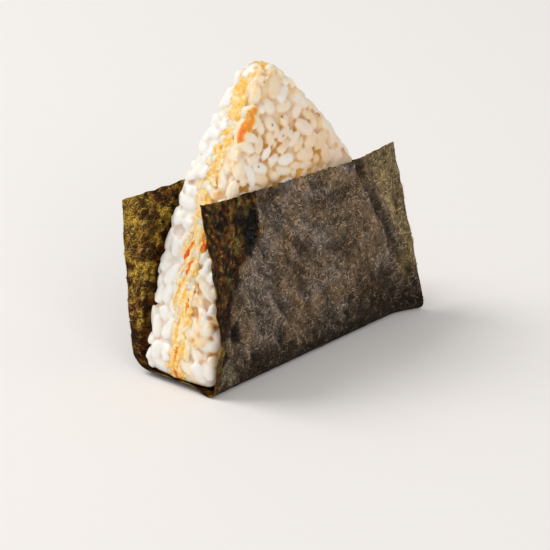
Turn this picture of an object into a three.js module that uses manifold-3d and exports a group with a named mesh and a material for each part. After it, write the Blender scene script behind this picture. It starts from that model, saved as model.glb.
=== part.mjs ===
// Onigiri: a pressed triangle of cooked short-grain rice, in two halves with a savoury filling between
// them, standing on its base in one strip of toasted nori. The strip runs down the front face, under the
// base and up the back, and its four corners stand free past the rice's slopes.
// Millimetres, +Z up. The front face looks along -Y, and the origin is on the underside of the nori,
// below the middle of the base.
import * as THREE from 'three';
import { mergeVertices } from 'three/addons/utils/BufferGeometryUtils.js';
import Module from 'manifold-3d';

const wasm = await Module();
wasm.setup();

// ---- driving dimensions ----
const RICE_LEFT = -44; // widest, near the base
const RICE_RIGHT = 41.5;
const RICE_TOP = 84; // above the standing surface
const RICE_HALF_THICKNESS = 13.2; // at the base, along Y
const TIP_X = -3.5;
const TIP_RADIUS = 7.5;
const TIP_THINNING = 0.64; // share of the thickness lost on the way up to the tip
const TIP_LEAN = 2.5; // the tip leans this far back, towards +Y
const BASE_CORNER_RADIUS = 6;
const SLOPE_RADIUS = { right: 150, left: 165 }; // both slopes bulge, as on a pressed triangle
const BASE_RADIUS = 4000; // the base is all but straight
const EDGE_RADIUS = 5; // rounding between a face and the narrow side, at the base

const GRAIN = { length: 6.4, width: 3.1, depth: 2.7 }; // one cooked grain
const GRAIN_SPACING = 4; // least distance between the middles of two grains
const GRAIN_SIZE_SPREAD = 0.12;
const GRAIN_TILT = 0.35; // radians, how far a grain tips out of the surface
const GRAIN_TRIES = 12000; // places tried for a grain on each half

const FILLING_SHARE = 0.2; // of the rice's thickness
const FILLING_UNEVEN = 0.3; // share of the filling's thickness that comes and goes
const FILLING_DRIFT = { mean: -0.8, swing: 1.1, wave: 25.3, peak: 5 }; // its wander to and fro on the way up
const FILLING_SINK = 1.1; // the filling's rim lies this far inside the rice's outline
const SHRED = { length: 11, width: 1.5, depth: 1.8 };
const CRUMB_RADIUS = 0.75;

const NORI_WIDTH = 85; // strip, along X
const NORI_THICKNESS = 0.4;
const NORI_TOP = { frontLeft: 57, frontRight: 49.4, backLeft: 51, backRight: 43 };
const NORI_CROWN = 5; // how far the back end's middle stands above its corners
const FOLD_RADIUS = { front: 2.2, back: 6 };
// Y of each free edge of the strip at the base, how far it has moved along Y at its top, and how far it
// bellies along Y between the two
const FREE_EDGE = {
  frontLeft: { base: -13.4, lean: 2.2, belly: -3 },
  frontRight: { base: -17.8, lean: 11.5, belly: 0 },
  backLeft: { base: 17.2, lean: 1.7, belly: 0 },
  backRight: { base: 15.5, lean: -3.5, belly: 0.8 },
};
const FREE_STRIP = 9; // the strip leaves the rice this far inside the rice's outline
const COCKLE = 0.3; // height of the small waves in the strip
const GAP = 0.3; // between two pieces that touch

// ---- small helpers ----
const { lerp, smoothstep, clamp, euclideanModulo } = THREE.MathUtils;
const X_AXIS = new THREE.Vector3(1, 0, 0);
const Y_AXIS = new THREE.Vector3(0, 1, 0);
const Z_AXIS = new THREE.Vector3(0, 0, 1);

/** A repeatable source of numbers from 0 to 1. */
function seededRandom(seed) {
  let state = seed;
  return () => {
    state = (state + 0x6d2b79f5) | 0;
    let t = Math.imul(state ^ (state >>> 15), 1 | state);
    t = (t + Math.imul(t ^ (t >>> 7), 61 | t)) ^ t;
    return ((t ^ (t >>> 14)) >>> 0) / 4294967296;
  };
}

/** Volume inside a closed indexed mesh, negative if its faces look inward. */
function signedVolume(positions, triangles) {
  const [a, b, c] = [new THREE.Vector3(), new THREE.Vector3(), new THREE.Vector3()];
  let volume = 0;
  for (let i = 0; i < triangles.length; i += 3) {
    a.fromArray(positions, 3 * triangles[i]);
    b.fromArray(positions, 3 * triangles[i + 1]);
    c.fromArray(positions, 3 * triangles[i + 2]);
    volume += a.dot(b.cross(c)) / 6;
  }
  return volume;
}

/** The geometry with shared vertices and outward faces, as a solid that can be joined and cut. */
function toSolid(geometry) {
  const bare = geometry.clone();
  bare.deleteAttribute('normal');
  bare.deleteAttribute('uv');
  const merged = mergeVertices(bare, 1e-4);
  const vertProperties = new Float32Array(merged.attributes.position.array);
  const triVerts = new Uint32Array(merged.index.array);
  if (signedVolume(vertProperties, triVerts) < 0) triVerts.reverse();
  return new wasm.Manifold(new wasm.Mesh({ numProp: 3, vertProperties, triVerts }));
}

/** A solid as three.js geometry. */
function toGeometry(solid) {
  const mesh = solid.getMesh();
  const geometry = new THREE.BufferGeometry();
  geometry.setAttribute('position', new THREE.BufferAttribute(mesh.vertProperties, 3));
  geometry.setIndex(new THREE.BufferAttribute(mesh.triVerts, 1));
  geometry.computeVertexNormals();
  return geometry;
}

/** The largest of a solid's separate bodies. */
function mainBody(solid) {
  return solid.decompose().reduce((best, body) => (body.volume() > best.volume() ? body : best));
}

/**
 * A sphere's skin drawn over a body by pointAt(u, ring): u runs from 0 to 1 round it, and ring 0 and ring
 * rings are its poles.
 */
function wrapSphere(pointAt, around, rings) {
  const geometry = new THREE.SphereGeometry(1, around, rings);
  const { position, uv } = geometry.attributes;
  for (let i = 0; i < position.count; i += 1) {
    const ring = Math.round((1 - uv.getY(i)) * rings);
    const atPole = ring === 0 || ring === rings;
    const u = atPole ? 0 : (Math.round(uv.getX(i) * around) % around) / around;
    position.setXYZ(i, ...pointAt(u, ring).toArray());
  }
  return geometry;
}

// ---- the rice's outline, in the X-Z plane ----
const RICE_BASE = NORI_THICKNESS + GAP;
const CORNERS = [
  { x: RICE_RIGHT - BASE_CORNER_RADIUS, z: RICE_BASE + BASE_CORNER_RADIUS, r: BASE_CORNER_RADIUS },
  { x: TIP_X, z: RICE_TOP - TIP_RADIUS, r: TIP_RADIUS },
  { x: RICE_LEFT + BASE_CORNER_RADIUS, z: RICE_BASE + BASE_CORNER_RADIUS, r: BASE_CORNER_RADIUS },
];

/** The wide arc that runs from one corner's arc to the next and touches both. */
function sideArc(from, to, radius) {
  const a = radius - from.r;
  const b = radius - to.r;
  const dx = to.x - from.x;
  const dz = to.z - from.z;
  const d = Math.hypot(dx, dz);
  const along = (a * a - b * b + d * d) / (2 * d);
  const off = Math.sqrt(a * a - along * along);
  return { x: from.x + (along * dx - off * dz) / d, z: from.z + (along * dz + off * dx) / d, r: radius };
}

const SIDES = [SLOPE_RADIUS.right, SLOPE_RADIUS.left, BASE_RADIUS].map((radius, i) =>
  sideArc(CORNERS[i], CORNERS[(i + 1) % 3], radius));

/** An arc with its start angle, sweep and length, between two directions seen from its centre. */
function turnedArc(arc, start, end) {
  const sweep = euclideanModulo(end - start, 2 * Math.PI);
  return { ...arc, start, sweep, length: arc.r * sweep };
}

/** The outline's six arcs in order, anticlockwise from the lower right corner. */
const ARCS = CORNERS.flatMap((corner, i) => {
  const before = SIDES[(i + 2) % 3];
  const after = SIDES[i];
  const next = CORNERS[(i + 1) % 3];
  const angle = (side, end) => Math.atan2(end.z - side.z, end.x - side.x);
  return [
    turnedArc(corner, angle(before, corner), angle(after, corner)),
    turnedArc(after, angle(after, corner), angle(after, next)),
  ];
});
const OUTLINE_LENGTH = ARCS.reduce((sum, arc) => sum + arc.length, 0);

/** Point of the outline at share u of its length, moved in by inset: a Vector2 of x and z. */
function outlinePoint(u, inset = 0) {
  let rest = euclideanModulo(u, 1) * OUTLINE_LENGTH;
  const arc = ARCS.find((candidate, i) => {
    if (rest <= candidate.length || i === ARCS.length - 1) return true;
    rest -= candidate.length;
    return false;
  });
  const angle = arc.start + (arc.sweep * rest) / arc.length;
  const radius = arc.r - inset;
  return new THREE.Vector2(arc.x + radius * Math.cos(angle), arc.z + radius * Math.sin(angle));
}

/** How far the rice reaches sideways at a height: X of its right slope (side 1) or left slope (side -1). */
function slopeX(side, z) {
  const arc = side > 0 ? SIDES[0] : SIDES[1];
  return arc.x + side * Math.sqrt(arc.r * arc.r - (z - arc.z) ** 2);
}

// ---- the rice's thickness, along Y ----
const AROUND = 44; // steps round the outline, alike for the rice and the filling so that their seams match
const MIDDLE = new THREE.Vector2(0, RICE_TOP * 0.36);

/** Half the rice's thickness at a height. */
const halfThickness = (z) => RICE_HALF_THICKNESS * (1 - TIP_THINNING * clamp(z / RICE_TOP, 0, 1) ** 2.8);

/** 0 where share u of the outline lies under the base, 1 where it shows. */
const showing = (u) => smoothstep(outlinePoint(u).y, RICE_BASE, RICE_BASE + 2 * BASE_CORNER_RADIUS);

/** Y of the rice's middle plane at a height. */
const middleY = (z) => TIP_LEAN * clamp(z / RICE_TOP, 0, 1);

/** Half the filling's thickness at share u of the outline. */
function fillingHalf(u) {
  const turn = 2 * Math.PI * u;
  const uneven = 1 + FILLING_UNEVEN * Math.sin(7 * turn + 2) * Math.cos(3 * turn);
  return FILLING_SHARE * halfThickness(outlinePoint(u).y) * uneven;
}

/** Where the filling meets a rice half, at share u of the outline: Y from the middle plane, side 1 or -1. */
function seamY(u, side) {
  const { mean, swing, wave, peak } = FILLING_DRIFT;
  const { y: z } = outlinePoint(u);
  const room = halfThickness(z) / RICE_HALF_THICKNESS;
  const drift = mean + swing * Math.cos((2 * Math.PI * (z - peak)) / wave);
  return drift * room + side * fillingHalf(u);
}

// ---- nori: where the strip runs ----
const NORI_STEPS = { front: 11, frontFold: 3, base: 4, backFold: 4, back: 10 };
const NORI_ACROSS = 15;
const NORI_ALONG = Object.values(NORI_STEPS).reduce((sum, steps) => sum + steps, 0);
const NORI_FIT = GAP + NORI_THICKNESS / 2; // from the rice's face to the middle of the strip
const SHEET_Z = NORI_THICKNESS / 2; // middle of the strip where it lies under the base

/** Height of the strip's cut end at a place across it, on the front (side -1) or the back (side 1). */
function noriTop(x, side) {
  const share = clamp(x / NORI_WIDTH + 0.5, 0, 1);
  if (side < 0) return lerp(NORI_TOP.frontLeft, NORI_TOP.frontRight, share ** 0.65);
  const crown = NORI_CROWN * Math.sin(Math.PI * share);
  return lerp(NORI_TOP.backLeft, NORI_TOP.backRight, share) + crown;
}

/** Y of the strip's middle at a place across it and a height: on the rice, and standing free past it. */
function noriY(x, z, side) {
  const onRice = middleY(z) + side * (halfThickness(z) + NORI_FIT);
  const edge = FREE_EDGE[(side < 0 ? 'front' : 'back') + (x < 0 ? 'Left' : 'Right')];
  const rise = clamp(z / noriTop(x, side), 0, 1);
  const free = edge.base + edge.lean * rise + edge.belly * 4 * rise * (1 - rise);
  const start = Math.abs(slopeX(Math.sign(x) || 1, z)) - FREE_STRIP;
  const share = clamp((Math.abs(x) - start) / (NORI_WIDTH / 2 - start), 0, 1) ** 1.4;
  const cockle = COCKLE * (0.5 + 0.5 * Math.sin(x / 4.3 + z / 9) * Math.sin(z / 6.1 - x / 13));
  return lerp(onRice, free, share) + side * cockle * smoothstep(z, FOLD_RADIUS.back, 4 * FOLD_RADIUS.back);
}

// ---- rice ----
const CORE_INSET = GRAIN.depth / 2; // where grains show, the core stops at the grains' middles
const SEAM_RING = 1; // the core's rings: the seam's rim, two on the narrow side, the rounded edge, the face
const EDGE_RING = 3;
const FACE_RING = 5;
const LAST_RING = 8;
const SHEET_RIM = 50; // below this height the strip covers both faces

/** Point on a rice half's skin, from ring 0, the middle of the seam, to LAST_RING, the middle of the face. */
function ricePoint(u, ring, side) {
  const seam = seamY(u, side) + side * GAP;
  const rimInset = CORE_INSET * showing(u);
  const rim = outlinePoint(u, rimInset);
  if (ring <= SEAM_RING) {
    const flat = MIDDLE.clone().lerp(rim, ring / SEAM_RING);
    const y = lerp(side * (FILLING_SHARE * RICE_HALF_THICKNESS + GAP), seam, ring / SEAM_RING);
    return new THREE.Vector3(flat.x, middleY(flat.y) + y, flat.y);
  }
  const room = halfThickness(rim.y) / RICE_HALF_THICKNESS;
  const edgeRadius = EDGE_RADIUS * room;
  const turned = clamp((ring - EDGE_RING) / (FACE_RING - EDGE_RING), 0, 1) * (Math.PI / 2);
  const edge = outlinePoint(u, rimInset + edgeRadius * (1 - Math.cos(turned)));
  const flat = edge.lerp(MIDDLE, clamp((ring - FACE_RING) / (LAST_RING - FACE_RING), 0, 1));
  const inset = CORE_INSET * Math.max(1 - Math.sin(turned), smoothstep(flat.y, SHEET_RIM - 6, SHEET_RIM));
  const outer = side * (halfThickness(flat.y) - inset - edgeRadius * (1 - Math.sin(turned)));
  const y = lerp(seam, outer, clamp((ring - SEAM_RING) / (EDGE_RING - SEAM_RING), 0, 1));
  return new THREE.Vector3(flat.x, middleY(flat.y) + y, flat.y);
}

/** Outward direction of a rice half's skin. */
function riceNormal(u, ring, side) {
  const step = 1e-3;
  const here = ricePoint(u, ring, side);
  const along = ricePoint(u + step, ring, side).sub(here);
  const across = ricePoint(u, Math.min(ring + step, LAST_RING), side).sub(here);
  return along.cross(across).normalize().multiplyScalar(-side);
}

/** How far an ellipsoid with these three half axes (Vector3s) reaches along a direction. */
const reach = (axes, direction) => Math.hypot(...axes.map((axis) => axis.dot(direction)));

/** True if a grain would touch the strip, the filling or the base, or would lie hidden behind the strip. */
function grainIsLost(middle, axes, u, side) {
  const reachX = reach(axes, X_AXIS);
  const reachY = reach(axes, Y_AXIS);
  const reachZ = reach(axes, Z_AXIS);
  const { x, y, z } = middle;
  const underSheet = z - reachZ < noriTop(x, side) + GAP;
  const sheetY = Math.min(...[-reachX, 0, reachX].map((dx) => side * noriY(x + dx, z, side)));
  const hitsSheet = underSheet && side * y + reachY > sheetY - NORI_FIT - GAP / 2;
  const onFace = Math.abs(x) < Math.abs(slopeX(Math.sign(x), z)) - EDGE_RADIUS;
  const hidden = z + reachZ < noriTop(x, side) && onFace && side * y > halfThickness(z) / 2;
  const hitsFilling = side * (y - middleY(z)) - reachY < side * seamY(u, side) + 1.5 * GAP;
  const hitsBase = z - reachZ < RICE_BASE;
  return hitsSheet || hidden || hitsFilling || hitsBase;
}

/** One rice half: its core with the grains that show fused on, spread evenly. */
function riceHalf(side, seed) {
  const random = seededRandom(seed);
  const placed = [];
  let solid = toSolid(wrapSphere((u, ring) => ricePoint(u, ring, side), AROUND, LAST_RING));
  for (let tries = 0; tries < GRAIN_TRIES; tries += 1) {
    const u = random();
    const ring = lerp(SEAM_RING, LAST_RING, random());
    const angle = random() * Math.PI;
    const tilt = (random() - 0.5) * 2 * GRAIN_TILT;
    const size = 1 + (random() - 0.5) * 2 * GRAIN_SIZE_SPREAD;
    const middle = ricePoint(u, ring, side);
    if (placed.some((other) => other.distanceTo(middle) < GRAIN_SPACING)) continue;
    const turn = new THREE.Quaternion().setFromUnitVectors(Z_AXIS, riceNormal(u, ring, side));
    turn.multiply(new THREE.Quaternion().setFromAxisAngle(Z_AXIS, angle));
    turn.multiply(new THREE.Quaternion().setFromAxisAngle(X_AXIS, tilt));
    const halves = new THREE.Vector3(GRAIN.width, GRAIN.length, GRAIN.depth).multiplyScalar(size / 2);
    const axes = [X_AXIS, Y_AXIS, Z_AXIS].map((axis, i) =>
      axis.clone().applyQuaternion(turn).multiplyScalar(halves.getComponent(i)));
    if (grainIsLost(middle, axes, u, side)) continue;
    placed.push(middle);
    const grain = new THREE.SphereGeometry(1, 5, 3);
    grain.applyMatrix4(new THREE.Matrix4().compose(middle, turn, halves));
    solid = solid.add(toSolid(grain));
  }
  return toGeometry(mainBody(solid));
}

// ---- filling ----
const FILLING_RINGS = 5; // ring 1 and 4 bound the rim, 0 and 5 are the middles of the two flat sides
const SHREDS = 18;
const CRUMBS = 36;

/** Point on the filling's rim: u round the outline, across from 1 at the back edge to -1 at the front. */
function fillingRim(u, across, sink) {
  const rim = outlinePoint(u, sink * showing(u) + 0.5 * across * across);
  const y = lerp(seamY(u, -1), seamY(u, 1), (across + 1) / 2);
  return new THREE.Vector3(rim.x, middleY(rim.y) + y, rim.y);
}

/** The filling's layer, flat against both rice halves, with a rounded rim. */
function fillingLayer() {
  const pointAt = (u, ring) => {
    const across = 1 - (2 * (ring - 1)) / (FILLING_RINGS - 2);
    if (Math.abs(across) <= 1) return fillingRim(u, across, FILLING_SINK);
    const y = middleY(MIDDLE.y) + Math.sign(across) * FILLING_SHARE * RICE_HALF_THICKNESS;
    return new THREE.Vector3(MIDDLE.x, y, MIDDLE.y);
  };
  return wrapSphere(pointAt, AROUND, FILLING_RINGS);
}

/** One shred: a strip laid along the rim from share u on, bent with it. */
function shred(u, across, slant) {
  const geometry = new THREE.BoxGeometry(SHRED.length, SHRED.width, SHRED.depth, 4, 1, 1);
  const { position } = geometry.attributes;
  for (let i = 0; i < position.count; i += 1) {
    const along = position.getX(i) / SHRED.length;
    const here = u + position.getX(i) / OUTLINE_LENGTH;
    const there = fillingRim(here, across + slant * along, FILLING_SINK - position.getZ(i));
    const taper = 1 - 2 * along * along;
    position.setXYZ(i, there.x, there.y + position.getY(i) * taper, there.z);
  }
  return geometry;
}

/** The filling as one solid: the layer, with the shreds and crumbs that show along its rim fused on. */
function filling() {
  const random = seededRandom(41);
  const shows = (u) => outlinePoint(u).y > RICE_BASE + SHRED.length / 2;
  let solid = toSolid(fillingLayer());
  for (let i = 0; i < SHREDS; i += 1) {
    const u = (i + 0.6 * random()) / SHREDS;
    const across = (random() - 0.5) * 0.4;
    const slant = (random() - 0.5) * 0.4;
    const fits = fillingHalf(u) * 0.6 > SHRED.width / 2;
    if (shows(u) && fits) solid = solid.add(toSolid(shred(u, across, slant)));
  }
  for (let i = 0; i < CRUMBS; i += 1) {
    const u = (i + random()) / CRUMBS;
    const across = (random() - 0.5) * 2 * Math.max(0, 1 - (CRUMB_RADIUS + 2 * GAP) / fillingHalf(u));
    const crumb = new THREE.IcosahedronGeometry(CRUMB_RADIUS, 0);
    crumb.rotateX(random() * 3).translate(...fillingRim(u, across, FILLING_SINK - 0.3).toArray());
    if (shows(u)) solid = solid.add(toSolid(crumb));
  }
  return toGeometry(mainBody(solid));
}

// ---- nori: the strip itself ----

/** The strip's middle surface. across and along run from 0 to 1: left to right, and front end to back end. */
function noriPoint(across, along) {
  const x = (across - 0.5) * NORI_WIDTH;
  const { front, frontFold, base, backFold, back } = NORI_STEPS;
  const step = along * NORI_ALONG;
  const wall = (side, foot, share) => {
    const z = lerp(SHEET_Z + foot, noriTop(x, side), share);
    return new THREE.Vector3(x, noriY(x, z, side), z);
  };
  const fold = (side, radius, share) => {
    const footY = noriY(x, SHEET_Z + radius, side) - side * radius;
    const angle = (share * Math.PI) / 2;
    const y = footY + side * radius * Math.cos(angle);
    return new THREE.Vector3(x, y, SHEET_Z + radius * (1 - Math.sin(angle)));
  };
  if (step <= front) return wall(-1, FOLD_RADIUS.front, 1 - step / front);
  if (step <= front + frontFold) return fold(-1, FOLD_RADIUS.front, (step - front) / frontFold);
  if (step < front + frontFold + base) {
    const share = (step - front - frontFold) / base;
    return fold(-1, FOLD_RADIUS.front, 1).lerp(fold(1, FOLD_RADIUS.back, 1), share);
  }
  const left = NORI_ALONG - step;
  if (left >= back) return fold(1, FOLD_RADIUS.back, (left - back) / backFold);
  return wall(1, FOLD_RADIUS.back, 1 - left / back);
}

/** Outward direction of the strip, away from the rice. */
function noriNormal(across, along) {
  const step = 1e-3;
  const [a0, a1] = [clamp(across - step, 0, 1), clamp(across + step, 0, 1)];
  const [b0, b1] = [clamp(along - step, 0, 1), clamp(along + step, 0, 1)];
  const a = noriPoint(a1, along).sub(noriPoint(a0, along));
  const b = noriPoint(across, b1).sub(noriPoint(across, b0));
  return a.cross(b).normalize().negate();
}

/** The strip of nori: two faces split into triangles alike, and a narrow rim between them. */
function noriSheet() {
  const plane = new THREE.PlaneGeometry(1, 1, NORI_ACROSS, NORI_ALONG);
  const { position } = plane.attributes;
  const corners = [];
  for (const face of [1, -1]) {
    for (let i = 0; i < position.count; i += 1) {
      const across = position.getX(i) + 0.5;
      const along = 0.5 - position.getY(i);
      const offset = noriNormal(across, along).multiplyScalar((face * NORI_THICKNESS) / 2);
      corners.push(...noriPoint(across, along).add(offset).toArray());
    }
  }
  const far = position.count; // from a vertex of the outer face to its twin on the inner face
  const outer = Array.from(plane.index.array);
  const inner = outer.map((vertex) => vertex + far).reverse();
  const row = NORI_ACROSS + 1;
  const last = NORI_ALONG * row;
  const rim = [];
  for (let i = 0; i < NORI_ACROSS; i += 1) rim.push([i + 1, i], [last + i, last + i + 1]);
  for (let j = 0; j < NORI_ALONG; j += 1) {
    rim.push([j * row, (j + 1) * row], [(j + 1) * row + NORI_ACROSS, j * row + NORI_ACROSS]);
  }
  const walls = rim.flatMap(([a, b]) => [a, a + far, b, b, a + far, b + far]);
  const geometry = new THREE.BufferGeometry();
  geometry.setAttribute('position', new THREE.Float32BufferAttribute(corners, 3));
  geometry.setIndex([...outer, ...inner, ...walls]);
  return toGeometry(toSolid(geometry));
}

// ---- the onigiri ----
const MATERIALS = {
  rice: new THREE.MeshStandardMaterial({ color: '#efe6d6', roughness: 0.45, metalness: 0 }),
  filling: new THREE.MeshStandardMaterial({ color: '#eeb35a', roughness: 0.4, metalness: 0 }),
  nori: new THREE.MeshStandardMaterial({ color: '#2c2a20', roughness: 0.65, metalness: 0 }),
};

/** One named piece of the onigiri. */
function piece(name, geometry, material) {
  const mesh = new THREE.Mesh(geometry, material);
  mesh.name = name;
  return mesh;
}

const onigiri = new THREE.Group();
onigiri.name = 'onigiri';
onigiri.add(
  piece('rice_front', riceHalf(-1, 7), MATERIALS.rice),
  piece('filling', filling(), MATERIALS.filling),
  piece('rice_back', riceHalf(1, 19), MATERIALS.rice),
  piece('nori', noriSheet(), MATERIALS.nori),
);

export default onigiri;
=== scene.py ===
"""An onigiri rice ball standing in a strip of toasted nori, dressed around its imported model.

The ball is a pressed triangle of cooked short-grain rice in two halves, with a savoury filling between them.
It stands on its base in one strip of nori that runs down the front, under the base and up the back.
Shapes are worked out in millimetres, +Z up, front towards -Y; a mesh is turned to metres when it is finished.
"""

import logging
import math
from collections.abc import Callable, Mapping, Sequence
from dataclasses import dataclass, field
from enum import Enum
from functools import cached_property
from typing import Any

import bmesh
import bpy
import numpy as np
from mathutils import Matrix, Vector
from mathutils.kdtree import KDTree


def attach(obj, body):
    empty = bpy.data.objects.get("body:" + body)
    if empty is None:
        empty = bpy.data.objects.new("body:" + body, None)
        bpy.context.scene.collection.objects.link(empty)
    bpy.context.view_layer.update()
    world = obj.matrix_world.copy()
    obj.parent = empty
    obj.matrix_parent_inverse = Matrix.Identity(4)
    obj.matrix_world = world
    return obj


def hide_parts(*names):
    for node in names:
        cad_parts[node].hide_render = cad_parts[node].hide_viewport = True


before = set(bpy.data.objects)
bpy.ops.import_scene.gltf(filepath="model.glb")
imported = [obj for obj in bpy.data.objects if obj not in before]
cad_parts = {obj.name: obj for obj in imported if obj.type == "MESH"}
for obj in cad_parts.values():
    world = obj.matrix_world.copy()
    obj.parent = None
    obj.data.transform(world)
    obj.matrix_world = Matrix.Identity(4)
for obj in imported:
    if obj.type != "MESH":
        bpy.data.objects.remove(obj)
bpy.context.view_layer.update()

Array = np.ndarray
Random = np.random.Generator

MM = 0.001
BODY = "root"
LOG = logging.getLogger("onigiri")


class Side(Enum):
    """The two halves of the ball, by the sign of Y that they lie on."""

    FRONT = -1
    BACK = 1

    @property
    def word(self) -> str:
        """The side's name as it stands in the names of pieces."""
        return self.name.lower()


class Slot(Enum):
    """The record's material slots."""

    RICE = "rice"
    FILLING = "filling"
    NORI = "nori"


# ---- sums on arrays ----
def ease(value: Array | float, low: float, high: float) -> Array:
    """A smooth step.

    Args:
        value: What is looked at.
        low: Where the step starts.
        high: Where the step ends.

    Returns:
        0 below low, 1 above high, and a smooth S between them.
    """
    share = np.clip((np.asarray(value) - low) / (high - low), 0, 1)
    return share * share * (3 - 2 * share)


def fade(value: Array | float, low: float, high: float) -> Array:
    """A smooth step down: 1 below low, 0 above high."""
    return 1 - ease(value, low, high)


def hump(value: Array, width: float) -> Array:
    """A bell: 1 where the value is 0, and less on both sides."""
    return np.exp(-((value / width) ** 2))


def blend(a: Array | float, b: Array | float, share: Array | float) -> Array:
    """The value at a share of the way from a to b."""
    return a + (b - a) * share


def unit(vectors: Array) -> Array:
    """The vectors at length 1."""
    return vectors / np.linalg.norm(vectors, axis=-1, keepdims=True)


def dot(a: Array, b: Array) -> Array:
    """The inner product of each pair of vectors."""
    return (a * b).sum(-1)


class Ripple:
    """A smooth, repeatable unevenness in space, made of plane waves in random directions."""

    WAVES = 24
    GAIN = 3.8  # brings the mean of the waves to about -1 to 1

    def __init__(self, wave: float, seed: int) -> None:
        """Draws the waves.

        Args:
            wave: Typical distance between two crests, in millimetres.
            seed: Picks one pattern out of many.
        """
        random = np.random.default_rng(seed)
        stretch = random.uniform(0.6, 1.5, (self.WAVES, 1))
        self.turns = unit(random.normal(size=(self.WAVES, 3))) * stretch * 2 * math.pi / wave
        self.phases = random.uniform(0, 2 * math.pi, self.WAVES)

    def __call__(self, points: Array) -> Array:
        """The unevenness at each point, about -1 to 1."""
        return self.GAIN * np.sin(points @ self.turns.T + self.phases).mean(-1)


# ---- the shapes that the pieces follow, in millimetres ----
@dataclass(frozen=True)
class Arc:
    """One arc of the rice's outline, in the X-Z plane."""

    x: float
    z: float
    radius: float
    start: float = 0.0
    sweep: float = 0.0

    @property
    def length(self) -> float:
        """The arc's own length."""
        return self.radius * self.sweep

    def direction_to(self, other: "Arc") -> float:
        """The angle from this arc's centre to another's."""
        return math.atan2(other.z - self.z, other.x - self.x)

    def turned(self, start: float, end: float) -> "Arc":
        """This arc between two directions from its centre, anticlockwise."""
        return Arc(self.x, self.z, self.radius, start, (end - start) % (2 * math.pi))

    def side_to(self, other: "Arc", radius: float) -> "Arc":
        """The wide arc that touches this arc and another from outside them.

        Args:
            other: The next corner's arc.
            radius: The wide arc's radius.

        Returns:
            The wide arc, not yet cut to its two ends.
        """
        a, b = radius - self.radius, radius - other.radius
        dx, dz = other.x - self.x, other.z - self.z
        d = math.hypot(dx, dz)
        along = (a * a - b * b + d * d) / (2 * d)
        off = math.sqrt(a * a - along * along)
        return Arc(self.x + (along * dx - off * dz) / d, self.z + (along * dz + off * dx) / d, radius)


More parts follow.
